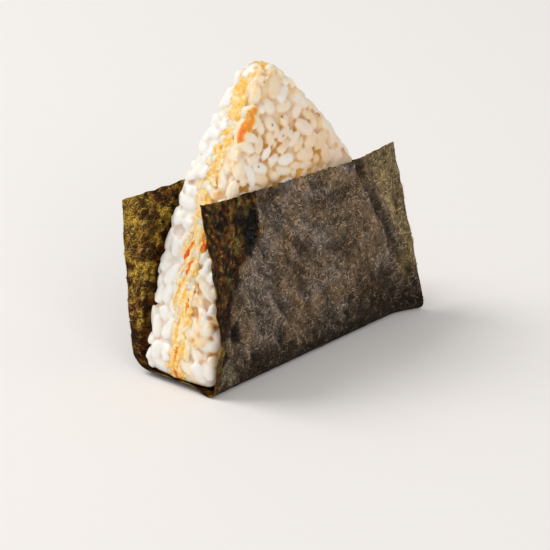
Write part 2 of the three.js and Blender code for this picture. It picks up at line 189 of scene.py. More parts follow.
@dataclass(frozen=True)
class RiceShape:
    """The pressed triangle: its outline seen from the front, and its thickness."""

    left: float = -44.0
    right: float = 41.5
    base: float = 0.7
    top: float = 84.0
    thickness: float = 13.2  # half of it, at the base
    tip_x: float = -3.5
    tip_radius: float = 7.5
    tip_thinning: float = 0.64
    thinning_power: float = 2.8
    tip_lean: float = 2.5
    corner_radius: float = 6.0
    right_slope_radius: float = 150.0
    left_slope_radius: float = 165.0
    base_radius: float = 4000.0
    edge_radius: float = 5.0
    middle_rise: float = 0.36  # height of the flat faces' middles, as a share of the top's
    filling_share: float = 0.2
    filling_uneven: float = 0.3
    # the filling's middle wanders along Y on its way up
    drift_mean: float = -0.8
    drift_swing: float = 1.1
    drift_wave: float = 25.3
    drift_peak: float = 5.0
    pit_most: float = 1.5  # a pit between grains counts as this deep at most
    out_of_reach: tuple[float, float] = (3.0, 5.0)  # the depths between which the mould's press dies away

    @cached_property
    def corners(self) -> tuple[Arc, Arc, Arc]:
        """The three corner circles: right, tip and left."""
        foot = self.base + self.corner_radius
        return (
            Arc(self.right - self.corner_radius, foot, self.corner_radius),
            Arc(self.tip_x, self.top - self.tip_radius, self.tip_radius),
            Arc(self.left + self.corner_radius, foot, self.corner_radius),
        )

    @cached_property
    def sides(self) -> tuple[Arc, ...]:
        """The right slope, the left slope and the base, as whole circles."""
        radii = (self.right_slope_radius, self.left_slope_radius, self.base_radius)
        return tuple(
            self.corners[i].side_to(self.corners[(i + 1) % 3], radius) for i, radius in enumerate(radii)
        )

    @cached_property
    def arcs(self) -> tuple[Arc, ...]:
        """The outline's six arcs, anticlockwise from the lower right corner."""
        arcs = []
        for i, corner in enumerate(self.corners):
            before, after, following = self.sides[i - 1], self.sides[i], self.corners[(i + 1) % 3]
            arcs.append(corner.turned(before.direction_to(corner), after.direction_to(corner)))
            arcs.append(after.turned(after.direction_to(corner), after.direction_to(following)))
        return tuple(arcs)

    @cached_property
    def length(self) -> float:
        """The outline's length all round."""
        return sum(arc.length for arc in self.arcs)

    @cached_property
    def middle(self) -> Array:
        """The place on each flat face that the rings of a half close on, as X and Z."""
        return np.array([0.0, self.middle_rise * self.top])

    def outline(self, u: Array, inset: Array | float = 0.0) -> tuple[Array, Array, Array]:
        """Places on the outline.

        Args:
            u: Shares of its length, from the lower right corner on, anticlockwise.
            inset: How far inside the outline the places lie.

        Returns:
            X, Z and the outward direction as an angle in the X-Z plane.
        """
        table = np.array([(a.x, a.z, a.radius, a.start, a.sweep, a.length) for a in self.arcs])
        ends = np.cumsum(table[:, 5])
        way = np.mod(u, 1.0) * ends[-1]
        which = np.minimum(np.searchsorted(ends, way), len(ends) - 1)
        x, z, radius, start, sweep, length = np.moveaxis(table[which], -1, 0)
        angle = start + sweep * (way - ends[which] + length) / length
        reach = radius - inset
        return x + reach * np.cos(angle), z + reach * np.sin(angle), angle

    def slope_x(self, x: Array, z: Array) -> Array:
        """How far the rice reaches sideways at height z, on the side that x lies on."""
        right, left = self.sides[0], self.sides[1]
        to_right = right.x + np.sqrt(right.radius**2 - (z - right.z) ** 2)
        to_left = left.x - np.sqrt(left.radius**2 - (z - left.z) ** 2)
        return np.where(np.asarray(x) < 0, -to_left, to_right)

    def half(self, z: Array | float) -> Array:
        """Half the thickness at a height."""
        share = np.clip(np.asarray(z) / self.top, 0, 1)
        return self.thickness * (1 - self.tip_thinning * share**self.thinning_power)

    def middle_y(self, z: Array | float) -> Array:
        """Y of the middle plane at a height."""
        return self.tip_lean * np.clip(np.asarray(z) / self.top, 0, 1)

    def showing(self, u: Array) -> Array:
        """0 where the outline lies under the base, 1 where it shows."""
        return ease(self.outline(u)[1], self.base, self.base + 2 * self.corner_radius)

    def filling_half(self, u: Array) -> Array:
        """Half the filling's thickness at a share of the outline."""
        turn = 2 * math.pi * np.asarray(u)
        uneven = 1 + self.filling_uneven * np.sin(7 * turn + 2) * np.cos(3 * turn)
        return self.filling_share * self.half(self.outline(u)[1]) * uneven

    def drift(self, u: Array) -> Array:
        """Y of the filling's middle, from the ball's own middle plane."""
        z = self.outline(u)[1]
        turn = 2 * math.pi * (z - self.drift_peak) / self.drift_wave
        return (self.drift_mean + self.drift_swing * np.cos(turn)) * self.half(z) / self.thickness

    @cached_property
    def heights(self) -> tuple[Array, Array]:
        """Shares of the outline, and the heights there."""
        u = np.linspace(0, 1, 2001)
        return u, self.outline(u)[1]

    @cached_property
    def tip_u(self) -> float:
        """The share of the outline at its highest place."""
        u, z = self.heights
        return float(u[z.argmax()])

    def u_at(self, height: float) -> float:
        """The share of the outline at which its left slope has a height."""
        u, z = self.heights
        left = (u > self.tip_u) & (z > self.base + 0.1)
        return float(np.interp(-height, -z[left], u[left]))

    def inside(self, x: Array, z: Array) -> Array:
        """How far places seen from the front lie inside the outline; below 0 outside it."""
        inside = np.min([arc.radius - np.hypot(x - arc.x, z - arc.z) for arc in self.sides], axis=0)
        for arc in self.arcs[::2]:
            away = np.arctan2(z - arc.z, x - arc.x)
            at_corner = np.mod(away - arc.start, 2 * math.pi) < arc.sweep
            inside = np.where(at_corner, arc.radius - np.hypot(x - arc.x, z - arc.z), inside)
        return inside

    def under_skin(self, places: Array) -> Array:
        """How far places lie under the skin; below 0 outside it."""
        x, y, z = np.moveaxis(places, -1, 0)
        inside, room = self.inside(x, z), self.half(z)
        under_face = room - np.abs(y - self.middle_y(z))
        edge = self.edge_radius * room / self.thickness
        at_edge = edge - np.hypot(edge - inside, edge - under_face)
        return np.where((inside < edge) & (under_face < edge), at_edge, np.minimum(inside, under_face))

    def pressed(self, places: Array, knee: Array, share: Array, fill: Array) -> Array:
        """The places after a mould has pressed back what stands out, and into the pits between.

        Args:
            places: The places.
            knee: What lies less than this under the skin is pressed back.
            share: How much of its height over that it loses.
            fill: How much of their depth under that the pits lose.

        Returns:
            The new places.
        """
        step = 0.05
        depth = self.under_skin(places)
        slope = [self.under_skin(places + step * axis) - depth for axis in np.eye(3)]
        inward = unit(np.stack(slope, -1) + 1e-9)
        sunk = np.clip(depth - knee, 0, self.pit_most) * fade(depth, *self.out_of_reach)
        return places + inward * (share * np.clip(knee - depth, 0, None) - fill * sunk)[:, None]

    def seam(self, u: Array, side: float) -> Array:
        """Y where the filling meets a half, from the ball's own middle plane."""
        return self.drift(u) + side * self.filling_half(u)

    def rim(self, u: Array, y: Array, sink: Array | float) -> tuple[Array, Array]:
        """Places on the narrow sides.

        Args:
            u: Shares of the outline.
            y: Distance from the ball's own middle plane.
            sink: How far under the skin the places lie.

        Returns:
            The places, and the outward directions there.
        """
        _, height, _ = self.outline(u)
        room = self.half(height)
        edge = self.edge_radius * room / self.thickness
        turn = np.arcsin(np.clip((np.abs(y) - room + edge) / edge, 0, 0.999))  # stops short of the flat face
        x, z, angle = self.outline(u, edge * (1 - np.cos(turn)) + sink * np.cos(turn))
        place = np.stack([x, self.middle_y(z) + y - np.sign(y) * sink * np.sin(turn), z], -1)
        level = np.cos(turn)
        return place, np.stack([np.cos(angle) * level, np.sign(y) * np.sin(turn), np.sin(angle) * level], -1)

    def face(self, x: Array, z: Array, side: float, sink: Array | float) -> tuple[Array, Array]:
        """Places on a flat face.

        Args:
            x: X of the places.
            z: Their heights.
            side: The sign of Y that the face lies on.
            sink: How far under the skin the places lie.

        Returns:
            The places, and the outward directions there.
        """
        step = 0.5
        skin = self.middle_y(z) + side * self.half(z)
        rise = (self.middle_y(z + step) + side * self.half(z + step) - skin) / step
        out = unit(np.stack([np.zeros_like(x), np.full_like(x, side), -side * rise], -1))
        return np.stack([x, skin, z], -1) - out * np.asarray(sink)[..., None], out

    def on_face(self, x: Array, z: Array, inset: float) -> Array:
        """True where a place seen from the front lies inside the outline by at least inset."""
        tip = self.corners[1]
        inside = (np.abs(x) < self.slope_x(x, z) - inset) & (z > self.base + inset)
        below = z < tip.z
        return inside & (below | (np.hypot(x - tip.x, z - tip.z) < tip.radius - inset))


@dataclass(frozen=True)
class NoriShape:
    """Where the strip of nori runs."""

    rice: RiceShape
    width: float = 85.0
    thickness: float = 0.4
    fit: float = 0.5  # from the rice's face to the middle of the strip
    front_top: tuple[float, float] = (57.0, 49.4)  # left, right
    back_top: tuple[float, float] = (51.0, 43.0)
    front_top_power: float = 0.65
    crown: float = 5.0
    front_fold: float = 2.2
    back_fold: float = 6.0
    # Y of a free edge at the base, how far it has moved at its top, and how far it bellies between
    front_left: tuple[float, float, float] = (-13.4, 2.2, -3.0)
    front_right: tuple[float, float, float] = (-17.8, 11.5, 0.0)
    back_left: tuple[float, float, float] = (17.2, 1.7, 0.0)
    back_right: tuple[float, float, float] = (15.5, -3.5, 0.8)
    free_strip: float = 9.0
    free_power: float = 1.4
    cockle: float = 0.3
    # lengths of the strip's five stretches at its middle: front, fold, base, fold, back
    stretches: tuple[float, float, float, float, float] = (50.8, 3.5, 19.6, 9.4, 46.0)

    @cached_property
    def length(self) -> float:
        """The strip's length, cut end to cut end."""
        return sum(self.stretches)

    def top(self, x: Array, side: float) -> Array:
        """Height of the cut end at a place across the strip."""
        share = np.clip(x / self.width + 0.5, 0, 1)
        if side < 0:
            return blend(*self.front_top, share**self.front_top_power)
        return blend(*self.back_top, share) + self.crown * np.sin(math.pi * share)

    def y(self, x: Array, z: Array, side: float) -> Array:
        """Y of the strip's middle: on the rice, and standing free past it."""
        on_rice = self.rice.middle_y(z) + side * (self.rice.half(z) + self.fit)
        left, right = (self.front_left, self.front_right) if side < 0 else (self.back_left, self.back_right)
        base, lean, belly = (np.where(x < 0, a, b) for a, b in zip(left, right, strict=True))
        rise = np.clip(z / self.top(x, side), 0, 1)
        free = base + lean * rise + belly * 4 * rise * (1 - rise)
        start = self.rice.slope_x(x, z) - self.free_strip
        share = np.clip((np.abs(x) - start) / (self.width / 2 - start), 0, 1) ** self.free_power
        waves = np.sin(x / 4.3 + z / 9) * np.sin(z / 6.1 - x / 13)  # two trains that cross
        cockle = self.cockle * (0.5 + 0.5 * waves) * ease(z, self.back_fold, 4 * self.back_fold)
        return blend(on_rice, free, share) + side * cockle

    def point(self, x: Array, way: Array) -> Array:
        """The strip's middle surface.

        Args:
            x: Place across the strip.
            way: Length along it from the front's cut end, as at its middle.

        Returns:
            The places.
        """
        foot = self.thickness / 2
        ends = np.cumsum(self.stretches)
        runs = zip(ends, self.stretches, strict=True)
        share = [np.clip((way - end + size) / size, 0, 1) for end, size in runs]

        def wall(side: float, fold: float, up: Array) -> tuple[Array, Array]:
            """Y and Z of a standing wall, at a share of its height."""
            z = blend(foot + fold, self.top(x, side), up)
            return self.y(x, z, side), z

        def bend(side: float, fold: float, turn: Array) -> tuple[Array, Array]:
            """Y and Z of a fold, at a share of its quarter turn."""
            angle = turn * math.pi / 2
            inner = self.y(x, np.full_like(x, foot + fold), side) - side * fold
            return inner + side * fold * np.cos(angle), foot + fold * (1 - np.sin(angle))

        whole = np.ones_like(x)
        under = blend(bend(-1, self.front_fold, whole)[0], bend(1, self.back_fold, whole)[0], share[2])
        parts = [
            wall(-1, self.front_fold, 1 - share[0]),
            bend(-1, self.front_fold, share[1]),
            (under, np.full_like(x, foot)),
            bend(1, self.back_fold, 1 - share[3]),
            wall(1, self.back_fold, share[4]),
        ]
        which = np.searchsorted(ends[:-1], way)
        y, z = (np.choose(which, values) for values in zip(*parts, strict=True))
        return np.stack([x, y, z], -1)

    def out(self, x: Array, way: Array) -> Array:
        """The strip's outward direction, away from the rice."""
        step = 0.4
        across = self.point(x + step, way) - self.point(x - step, way)
        along = self.point(x, np.minimum(way + step, self.length)) - self.point(x, np.maximum(way - step, 0))
        return unit(np.cross(along, across))


@dataclass(frozen=True)
class Stain:
    """A streak of sauce on the narrow sides."""

    from_yz: tuple[float, float]  # distance from the middle plane, and height
    to_yz: tuple[float, float]
    radius: float
    strength: float

    EDGE = (0.1, 1.2)  # where it starts to thin out and where it ends, in radii

    def amount(self, y: Array, z: Array) -> Array:
        """How much of it lies at each place."""
        start, run = np.array(self.from_yz), np.subtract(self.to_yz, self.from_yz)
        share = np.clip(((y - start[0]) * run[0] + (z - start[1]) * run[1]) / (run @ run), 0, 1)
        away = np.hypot(y - start[0] - share * run[0], z - start[1] - share * run[1])
        return self.strength * fade(away, *(edge * self.radius for edge in self.EDGE))


@dataclass(frozen=True)
class Band:
    """Where crumbs and sauce lie on the narrow sides, between the grains and on them."""

    rice: RiceShape
    # a height, and how far the band reaches to the front and to the back of the middle plane there
    stations: tuple[tuple[float, float, float], ...] = (
        (0.0, -2.5, 2.0), (9.0, -3.6, 1.3), (17.0, -9.5, 0.3), (25.0, -8.0, 2.8), (34.0, -5.2, 1.6),
        (45.0, -2.7, 1.7), (53.0, -5.0, 1.5), (60.0, -7.5, 0.2), (70.0, -7.5, -0.8), (77.0, -5.2, -0.2),
        (84.0, -6.5, 0.2),
    )
    stains: tuple[Stain, ...] = (
        Stain((-7.1, 74.6), (-6.2, 69.0), 2.4, 0.8), Stain((-6.3, 69.4), (-6.1, 67.6), 1.8, 1.0),
        Stain((-11.8, 22.4), (-11.5, 20.5), 1.8, 0.45), Stain((-4.3, 41.0), (-4.4, 39.0), 1.2, 0.85),
        Stain((-0.6, 35.4), (-0.9, 33.0), 1.0, 0.75), Stain((-2.0, 25.0), (-2.3, 22.0), 1.1, 0.75),
        Stain((-0.5, 12.3), (-0.5, 9.5), 0.9, 0.7),
    )
    # a height, and how much of the band there is crumbs alone, with no grains
    crumbly: tuple[tuple[float, float], ...] = (
        (0.0, 0.4), (12.0, 0.4), (17.0, 0.85), (23.0, 0.5), (45.0, 0.45), (55.0, 0.5), (70.0, 0.55),
        (76.0, 0.95), (84.0, 1.0),
    )
    # how far the band reaches to the front on the right slope, against the left one
    right_share: float = 0.42
    coat: float = 0.34  # sauce all over the band
    pooled: float = 0.26  # and how much more of it lies in hollows

    def edges(self, x: Array, z: Array) -> tuple[Array, Array]:
        """How far the band reaches to the front and to the back at a place seen from the front."""
        heights, front, back = np.array(self.stations).T
        share = blend(1.0, self.right_share, ease(x - self.rice.tip_x, -1.0, 6.0))
        return np.interp(z, heights, front) * share, np.interp(z, heights, back)

    def crumbliness(self, z: Array) -> Array:
        """How much of the band is crumbs alone at a height."""
        return np.interp(z, *np.array(self.crumbly).T)

    def bare_of_grains(self, x: Array, y: Array, z: Array) -> Array:
        """How likely a place is to hold no grain, where Y is its distance from the middle plane."""
        front, back = self.edges(x, z)
        return self.crumbliness(z) * ((y > front + 0.8) & (y < back))

    def stain(self, places: Array) -> Array:
        """How much of the streaks lies at each place."""
        x, y, z = places.T
        at_rim = fade(self.rice.inside(x, z), 1.5, 4.0)
        at_left = fade(x - self.rice.tip_x, 0.0, 2.0)
        across = y - self.rice.middle_y(z)
        uneven = np.clip(1 + 0.4 * Ripple(1.8, 27)(places), 0, 1)
        return at_rim * at_left * uneven * np.max([stain.amount(across, z) for stain in self.stains], axis=0)

    def sauce(self, places: Array, hollow: Array) -> Array:
        """How much sauce lies at each place: most in hollows (0 to 1) inside the band."""
        x, y, z = places.T
        across = y - self.rice.middle_y(z)
        front, back = self.edges(x, z)
        patchy = np.clip(0.6 + 0.5 * Ripple(5.0, 21)(places), 0, 1)
        within = ease(across, front - 1.6, front + 1.6) * fade(across, back - 1.0, back + 1.6)
        at_rim = fade(self.rice.inside(x, z), 3.0, 6.0)
        return np.maximum(at_rim * within * patchy * (self.coat + self.pooled * hollow), self.stain(places))


RICE = RiceShape()
NORI = NoriShape(RICE)
BAND = Band(RICE)


# ---- meshes ----
def to_mesh(bm: bmesh.types.BMesh, name: str) -> bpy.types.Mesh:
    """Turns a finished bmesh into a mesh, and frees it."""
    mesh = bpy.data.meshes.new(name)
    bm.to_mesh(mesh)
    bm.free()
    return mesh


def add_object(name: str, data: bpy.types.ID) -> bpy.types.Object:
    """Puts an object with this data in the scene."""
    thing = bpy.data.objects.new(name, data)
    bpy.context.scene.collection.objects.link(thing)
    return thing


@dataclass(frozen=True)
class Stock:
    """A small shape that is repeated many times, within -1 to 1 on each axis, long along Z."""

    corners: Array
    faces: tuple[tuple[int, ...], ...]

    @classmethod
    def of_ball(cls, around: int, rings: int) -> "Stock":
        """A plain ball to start from.

        Args:
            around: Faces round it.
            rings: Faces from pole to pole.

        Returns:
            The ball.
        """
        bm = bmesh.new()
        bmesh.ops.create_uvsphere(bm, u_segments=around, v_segments=rings, radius=1)
        bm.verts.ensure_lookup_table()
        stock = cls(
            np.array([vert.co for vert in bm.verts]),
            tuple(tuple(vert.index for vert in face.verts) for face in bm.faces),
        )
        bm.free()
        return stock


@dataclass
class Heap:
    """Small things that are joined in one mesh, with a tone for each of their corners."""

    corners: list[Array] = field(default_factory=list)
    faces: list[tuple[int, ...]] = field(default_factory=list)
    tones: list[Array] = field(default_factory=list)
    count: int = 0

    def add(self, corners: Array, faces: Sequence[tuple[int, ...]], tone: Array | float = 0.0) -> None:
        """Adds one thing.

        Args:
            corners: Its corners, in millimetres.
            faces: Its faces, by its own corners.
            tone: Its tone, or one for each corner.
        """
        self.faces.extend(tuple(corner + self.count for corner in face) for face in faces)
        self.corners.append(corners)
        self.tones.append(np.broadcast_to(tone, len(corners)))
        self.count += len(corners)

    def mesh(self, name: str) -> bpy.types.Mesh:
        """The heap as one mesh, in metres."""
        mesh = bpy.data.meshes.new(name)
        mesh.from_pydata((np.concatenate(self.corners) * MM).tolist(), [], self.faces)
        return mesh


def paint_colour(mesh: bpy.types.Mesh, name: str, colours: Array) -> None:
    """Keeps a linear colour for each corner of a mesh, by the attribute's name."""
    layer = mesh.attributes.new(name, "FLOAT_COLOR", "POINT")
    full = np.concatenate([np.clip(colours, 0, 1), np.ones((len(colours), 1))], 1)
    layer.data.foreach_set("color", full.astype(np.float32).ravel())


def add_piece(
    name: str,
    mesh: bpy.types.Mesh,
    materials: Sequence[bpy.types.Material],
    stands_for: Sequence[str] = (),
) -> bpy.types.Object:
    """Puts a finished mesh in the scene as a piece of the onigiri.

    Args:
        name: The piece's name.
        mesh: Its mesh, in metres and in its place.
        materials: Its materials.
        stands_for: The CAD nodes that it replaces.

    Returns:
        The piece.
    """
    piece = add_object(name, mesh)
    for material in materials:
        mesh.materials.append(material)
    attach(piece, BODY)
    if stands_for:
        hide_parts(*stands_for)
    mesh.calc_loop_triangles()
    LOG.info("%s: %d triangles", name, len(mesh.loop_triangles))
    return piece


def wrapped_ball(
    name: str, around: int, rings: int, shape: Callable[[Array, Array], Array]
) -> bpy.types.Mesh:
    """A ball's skin drawn over a body.

    Args:
        name: The mesh's name.
        around: Faces round it.
        rings: Faces from pole to pole.
        shape: Gives the places in millimetres of u, 0 to 1 round it, and down, 0 to 1 from pole to pole.

    Returns:
        The mesh, with its faces outwards.
    """
    bm = bmesh.new()
    bmesh.ops.create_uvsphere(bm, u_segments=around, v_segments=rings, radius=1)
    ball = np.array([vert.co for vert in bm.verts])
    u = np.mod(np.arctan2(ball[:, 1], ball[:, 0]) / (2 * math.pi), 1)
    down = np.arccos(np.clip(ball[:, 2], -1, 1)) / math.pi
    for vert, place in zip(bm.verts, shape(u, down) * MM, strict=True):
        vert.co = place
    bmesh.ops.recalc_face_normals(bm, faces=bm.faces)
    return to_mesh(bm, name)


class Skin:
    """One closed skin round things that overlap, so that they run into each other as moist ones do."""

    def __init__(self, name: str, meshes: Sequence[bpy.types.Mesh], cell: float) -> None:
        """Draws the skin.

        Args:
            name: The new mesh's name.
            meshes: Closed meshes, which are used up.
            cell: How finely the skin is drawn, in millimetres.
        """
        bm = bmesh.new()
        for mesh in meshes:
            bm.from_mesh(mesh)
            bpy.data.meshes.remove(mesh)
        rough = to_mesh(bm, "rough")
        body = add_object("rough", rough)
        fuse = body.modifiers.new("Fuse", "REMESH")
        fuse.mode, fuse.voxel_size, fuse.use_smooth_shade = "VOXEL", cell * MM, True
        graph = bpy.context.evaluated_depsgraph_get()
        self.mesh = bpy.data.meshes.new_from_object(body.evaluated_get(graph))
        self.mesh.name = name
        bpy.data.objects.remove(body)
        bpy.data.meshes.remove(rough)
        self.drop_bubbles()
        self.edges = self.read(self.mesh.edges, "vertices", np.int32, 2)
        self.places = self.read(self.mesh.vertices, "co", np.float32, 3) / MM

    @staticmethod
    def read(source: Any, word: str, kind: type, width: int) -> Array:
        """A property of every item of a mesh's collection, as rows."""
        values = np.zeros(len(source) * width, kind)
        source.foreach_get(word, values)
        return values.reshape(-1, width)

    def drop_bubbles(self) -> None:
        """Deletes the small shut bubbles that are left inside."""
        edges = self.read(self.mesh.edges, "vertices", np.int32, 2)
        labels, before = np.arange(len(self.mesh.vertices)), None
        while before is None or (labels != before).any():
            before = labels
            lowest = np.minimum(labels[edges[:, 0]], labels[edges[:, 1]])
            labels = before.copy()
            np.minimum.at(labels, edges[:, 0], lowest)
            np.minimum.at(labels, edges[:, 1], lowest)
            labels = labels[labels]
        bubble = np.flatnonzero(labels != np.bincount(labels).argmax())
        bm = bmesh.new()
        bm.from_mesh(self.mesh)
        bm.verts.ensure_lookup_table()
        bmesh.ops.delete(bm, geom=[bm.verts[i] for i in bubble], context="VERTS")
        bm.to_mesh(self.mesh)
        bm.free()

    def eased(self, values: Array, rounds: int) -> Array:
        """The values, one row each, after each has moved towards its neighbours' mean so many times."""
        one, other = self.edges.T
        many = len(values)
        neighbours = np.bincount(self.edges.ravel(), minlength=many)
        for _ in range(rounds):
            mean = np.stack([
                (np.bincount(one, column[other], many) + np.bincount(other, column[one], many)) / neighbours
                for column in values.T
            ], -1)
            values = (values + mean) / 2
        return values

    def soften(self, rounds: int) -> None:
        """Rounds the creases between the things, and puts the new places in the mesh."""
        self.places = self.eased(self.places, rounds)
        self.mesh.vertices.foreach_set("co", (self.places * MM).astype(np.float32).ravel())
        self.mesh.update()

    def hollows(self, rounds: int) -> Array:
        """How far each place lies below the blurred skin, in millimetres; below 0 on crests."""
        normals = self.read(self.mesh.vertex_normals, "vector", np.float32, 3)
        return dot(self.eased(self.places, rounds) - self.places, normals)

    def nearest(self, points: Array) -> tuple[Array, Array]:
        """For each place, which of the points is nearest, and how far off it is."""
        tree = KDTree(len(points))
        for i, point in enumerate(points):
            tree.insert(point, i)
        tree.balance()
        found = [tree.find(place) for place in self.places]
        return np.array([item[1] for item in found]), np.array([item[2] for item in found])

    def paint(self, **values: Array) -> None:
        """Keeps a value for each corner, by the attribute's name."""
        for word, value in values.items():
            layer = self.mesh.attributes.new(word, "FLOAT", "POINT")
            layer.data.foreach_set("value", np.broadcast_to(value, len(self.places)).astype(np.float32))


class Bed:
    """What has been laid so far, as chains of beads that later things may not press into too far."""

    ROOM = 12000  # things that it can hold
    BEADS = 5
    REACH = 7.5  # things whose middles are further apart than this don't touch

    def __init__(self) -> None:
        """Starts empty."""
        self.middles = np.zeros((self.ROOM, 3))
        self.beads = np.zeros((self.ROOM, self.BEADS, 4))
        self.count = 0

    def fits(self, beads: Array, give: float) -> bool:
        """Tests a new thing.

        Args:
            beads: The places and radii of its beads, one row each.
            give: Share of two radii by which two beads may run into each other.

        Returns:
            True if it presses into nothing by more than it may.
        """
        middle = beads[:, :3].mean(0)
        near = ((self.middles[: self.count] - middle) ** 2).sum(1) < self.REACH**2
        there = self.beads[: self.count][near].reshape(-1, 1, 4)
        gaps = np.sqrt(((there[..., :3] - beads[:, :3]) ** 2).sum(-1))
        return bool((gaps > (there[..., 3] + beads[:, 3]) * (1 - give)).all())

    def add(self, beads: Array) -> None:
        """Lays a thing down: its beads' places and radii, one row each."""
        self.middles[self.count] = beads[:, :3].mean(0)
        self.beads[self.count] = beads
        self.count += 1


# ---- materials ----
def linear(colour: str) -> tuple[float, float, float, float]:
    """An sRGB hex colour as linear red, green, blue and alpha."""
    values = [int(colour[i : i + 2], 16) / 255 for i in (1, 3, 5)]
    red, green, blue = (v / 12.92 if v <= 0.04045 else ((v + 0.055) / 1.055) ** 2.4 for v in values)
    return red, green, blue, 1.0


def new_material(name: str) -> tuple[bpy.types.Material, bpy.types.NodeTree]:
    """An empty node material and its tree."""
    material = bpy.data.materials.new(name)
    material.use_nodes = True
    material.node_tree.nodes.clear()
    return material, material.node_tree


def add_node(
    tree: bpy.types.NodeTree, kind: str, inputs: Mapping[str | int, Any] | None = None, **settings: Any
) -> bpy.types.Node:
    """Adds one node.

    Args:
        tree: Where it goes.
        kind: The node's type, without ShaderNode.
        inputs: For an input's name or number, the value or the output that feeds it.
        settings: The node's own properties.

    Returns:
        The node.
    """
    node = tree.nodes.new("ShaderNode" + kind)
    for name, value in settings.items():
        setattr(node, name, value)
    for name, value in (inputs or {}).items():
        if isinstance(value, bpy.types.NodeSocket):
            tree.links.new(value, node.inputs[name])
        else:
            node.inputs[name].default_value = value
    return node


def pattern_scale(size_mm: float) -> float:
    """The scale at which a pattern on Object coordinates has features of a size in millimetres."""
    return 1 / (size_mm * MM)


def paint_ramp(ramp: bpy.types.ColorRamp, low: str, middle: str, high: str, at: float) -> None:
    """Gives a colour ramp its two ends, and a colour at a place between them."""
    ramp.elements[0].color, ramp.elements[1].color = linear(low), linear(high)
    ramp.elements.new(at).color = linear(middle)


@dataclass(frozen=True)
class RiceFinish:
    """Cooked short-grain rice: milky and moist, with light passing through it, and painted shade that makes
    it tan where it lies deep.
    """

    white: str = "#fff7f0"
    cream: str = "#f5d6a2"
    # the colour of the painted shade in the hollows and deep places, tinted warm
    deep: str = "#d0973a"
    sauces: tuple[str, str, str] = ("#ffe3a0", "#f1a524", "#f2660a")  # thin, thick and the red of the streaks
    speck: str = "#5c4024"
    scatter_mm: float = 1.8  # how far light spreads under the skin
    roughness: tuple[float, float] = (0.16, 0.34)
    skin_mm: float = 0.9  # size of the fine dents of a cooked grain
    crumb_mm: float = 1.1  # size of the specks that sauce leaves
    patch_mm: float = 2.4  # size of the wetter and drier places

    def build(self, name: str) -> bpy.types.Material:
        """The material, which reads a grain's milk, its depth, which carries painted shade, its sauce, and
        the specks of nori on it.
        """
        material, tree = new_material(name)
        where = add_node(tree, "TexCoord").outputs["Object"]
        words = ("milk", "depth", "sauce", "speck")
        milk, depth, sauce, speck = (
            add_node(tree, "Attribute", attribute_name=word).outputs["Fac"] for word in words
        )
        patches = add_node(
            tree, "TexNoise", {"Vector": where, "Scale": pattern_scale(self.patch_mm), "Detail": 3.0}
        ).outputs["Fac"]
        dents = add_node(
            tree, "TexNoise", {"Vector": where, "Scale": pattern_scale(self.skin_mm), "Detail": 2.0}
        ).outputs["Fac"]
        crumbs = add_node(tree, "TexVoronoi", {"Vector": where, "Scale": pattern_scale(self.crumb_mm)})
        blotchy = add_node(
            tree, "MapRange",
            {"Value": patches, "From Min": 0.3, "From Max": 0.7, "To Min": 0.6, "To Max": 1.25},
        ).outputs[0]
        speckled = add_node(
            tree, "MapRange", {"Value": crumbs.outputs["Color"], "To Min": 0.55, "To Max": 1.15}
        ).outputs[0]
        uneven = add_node(tree, "Math", {0: blotchy, 1: speckled}, operation="MULTIPLY").outputs[0]
        pooled = add_node(tree, "MapRange", {"Value": sauce, "From Min": 0.45, "From Max": 0.6}).outputs[0]
        uneven = add_node(tree, "Mix", {0: pooled, 2: uneven, 3: 1.0}, data_type="FLOAT").outputs[0]
        stain = add_node(tree, "Math", {0: sauce, 1: uneven}, operation="MULTIPLY", use_clamp=True).outputs[0]
        shades = add_node(tree, "ValToRGB", {"Fac": stain})
        paint_ramp(shades.color_ramp, *self.sauces, at=0.55)
        cover = add_node(tree, "MapRange", {"Value": stain, "From Max": 0.5, "To Max": 0.95}).outputs[0]
        colour = linear(self.cream)
        for share, over in (
            (milk, linear(self.white)), (depth, linear(self.deep)), (cover, shades.outputs[0]),
            (speck, linear(self.speck)),
        ):
            colour = add_node(tree, "Mix", {0: share, 6: colour, 7: over}, data_type="RGBA").outputs[2]
        cover = add_node(tree, "Math", {0: cover, 1: speck}, operation="MAXIMUM").outputs[0]
        glow = add_node(tree, "MapRange", {"Value": cover, "To Min": 0.85, "To Max": 0.05}).outputs[0]
        gloss = add_node(tree, "MapRange", {"Value": cover, "To Min": 0.5, "To Max": 0.12}).outputs[0]
        smooth, rough = self.roughness
        rough = add_node(
            tree, "MapRange",
            {"Value": patches, "From Min": 0.3, "From Max": 0.7, "To Min": smooth, "To Max": rough},
        ).outputs[0]
        bump = add_node(tree, "Bump", {"Height": dents, "Strength": 0.35, "Distance": 0.12 * MM}).outputs[0]
        shader = add_node(
            tree, "BsdfPrincipled",
            {
                "Base Color": colour, "Roughness": rough, "Normal": bump, "IOR": 1.4,
                "Subsurface Weight": glow, "Subsurface Radius": (1.0, 0.92, 0.78),
                "Subsurface Scale": self.scatter_mm * MM, "Specular IOR Level": gloss,
            },
            subsurface_method="RANDOM_WALK",
        )
        add_node(tree, "OutputMaterial", {"Surface": shader.outputs[0]})
        return material


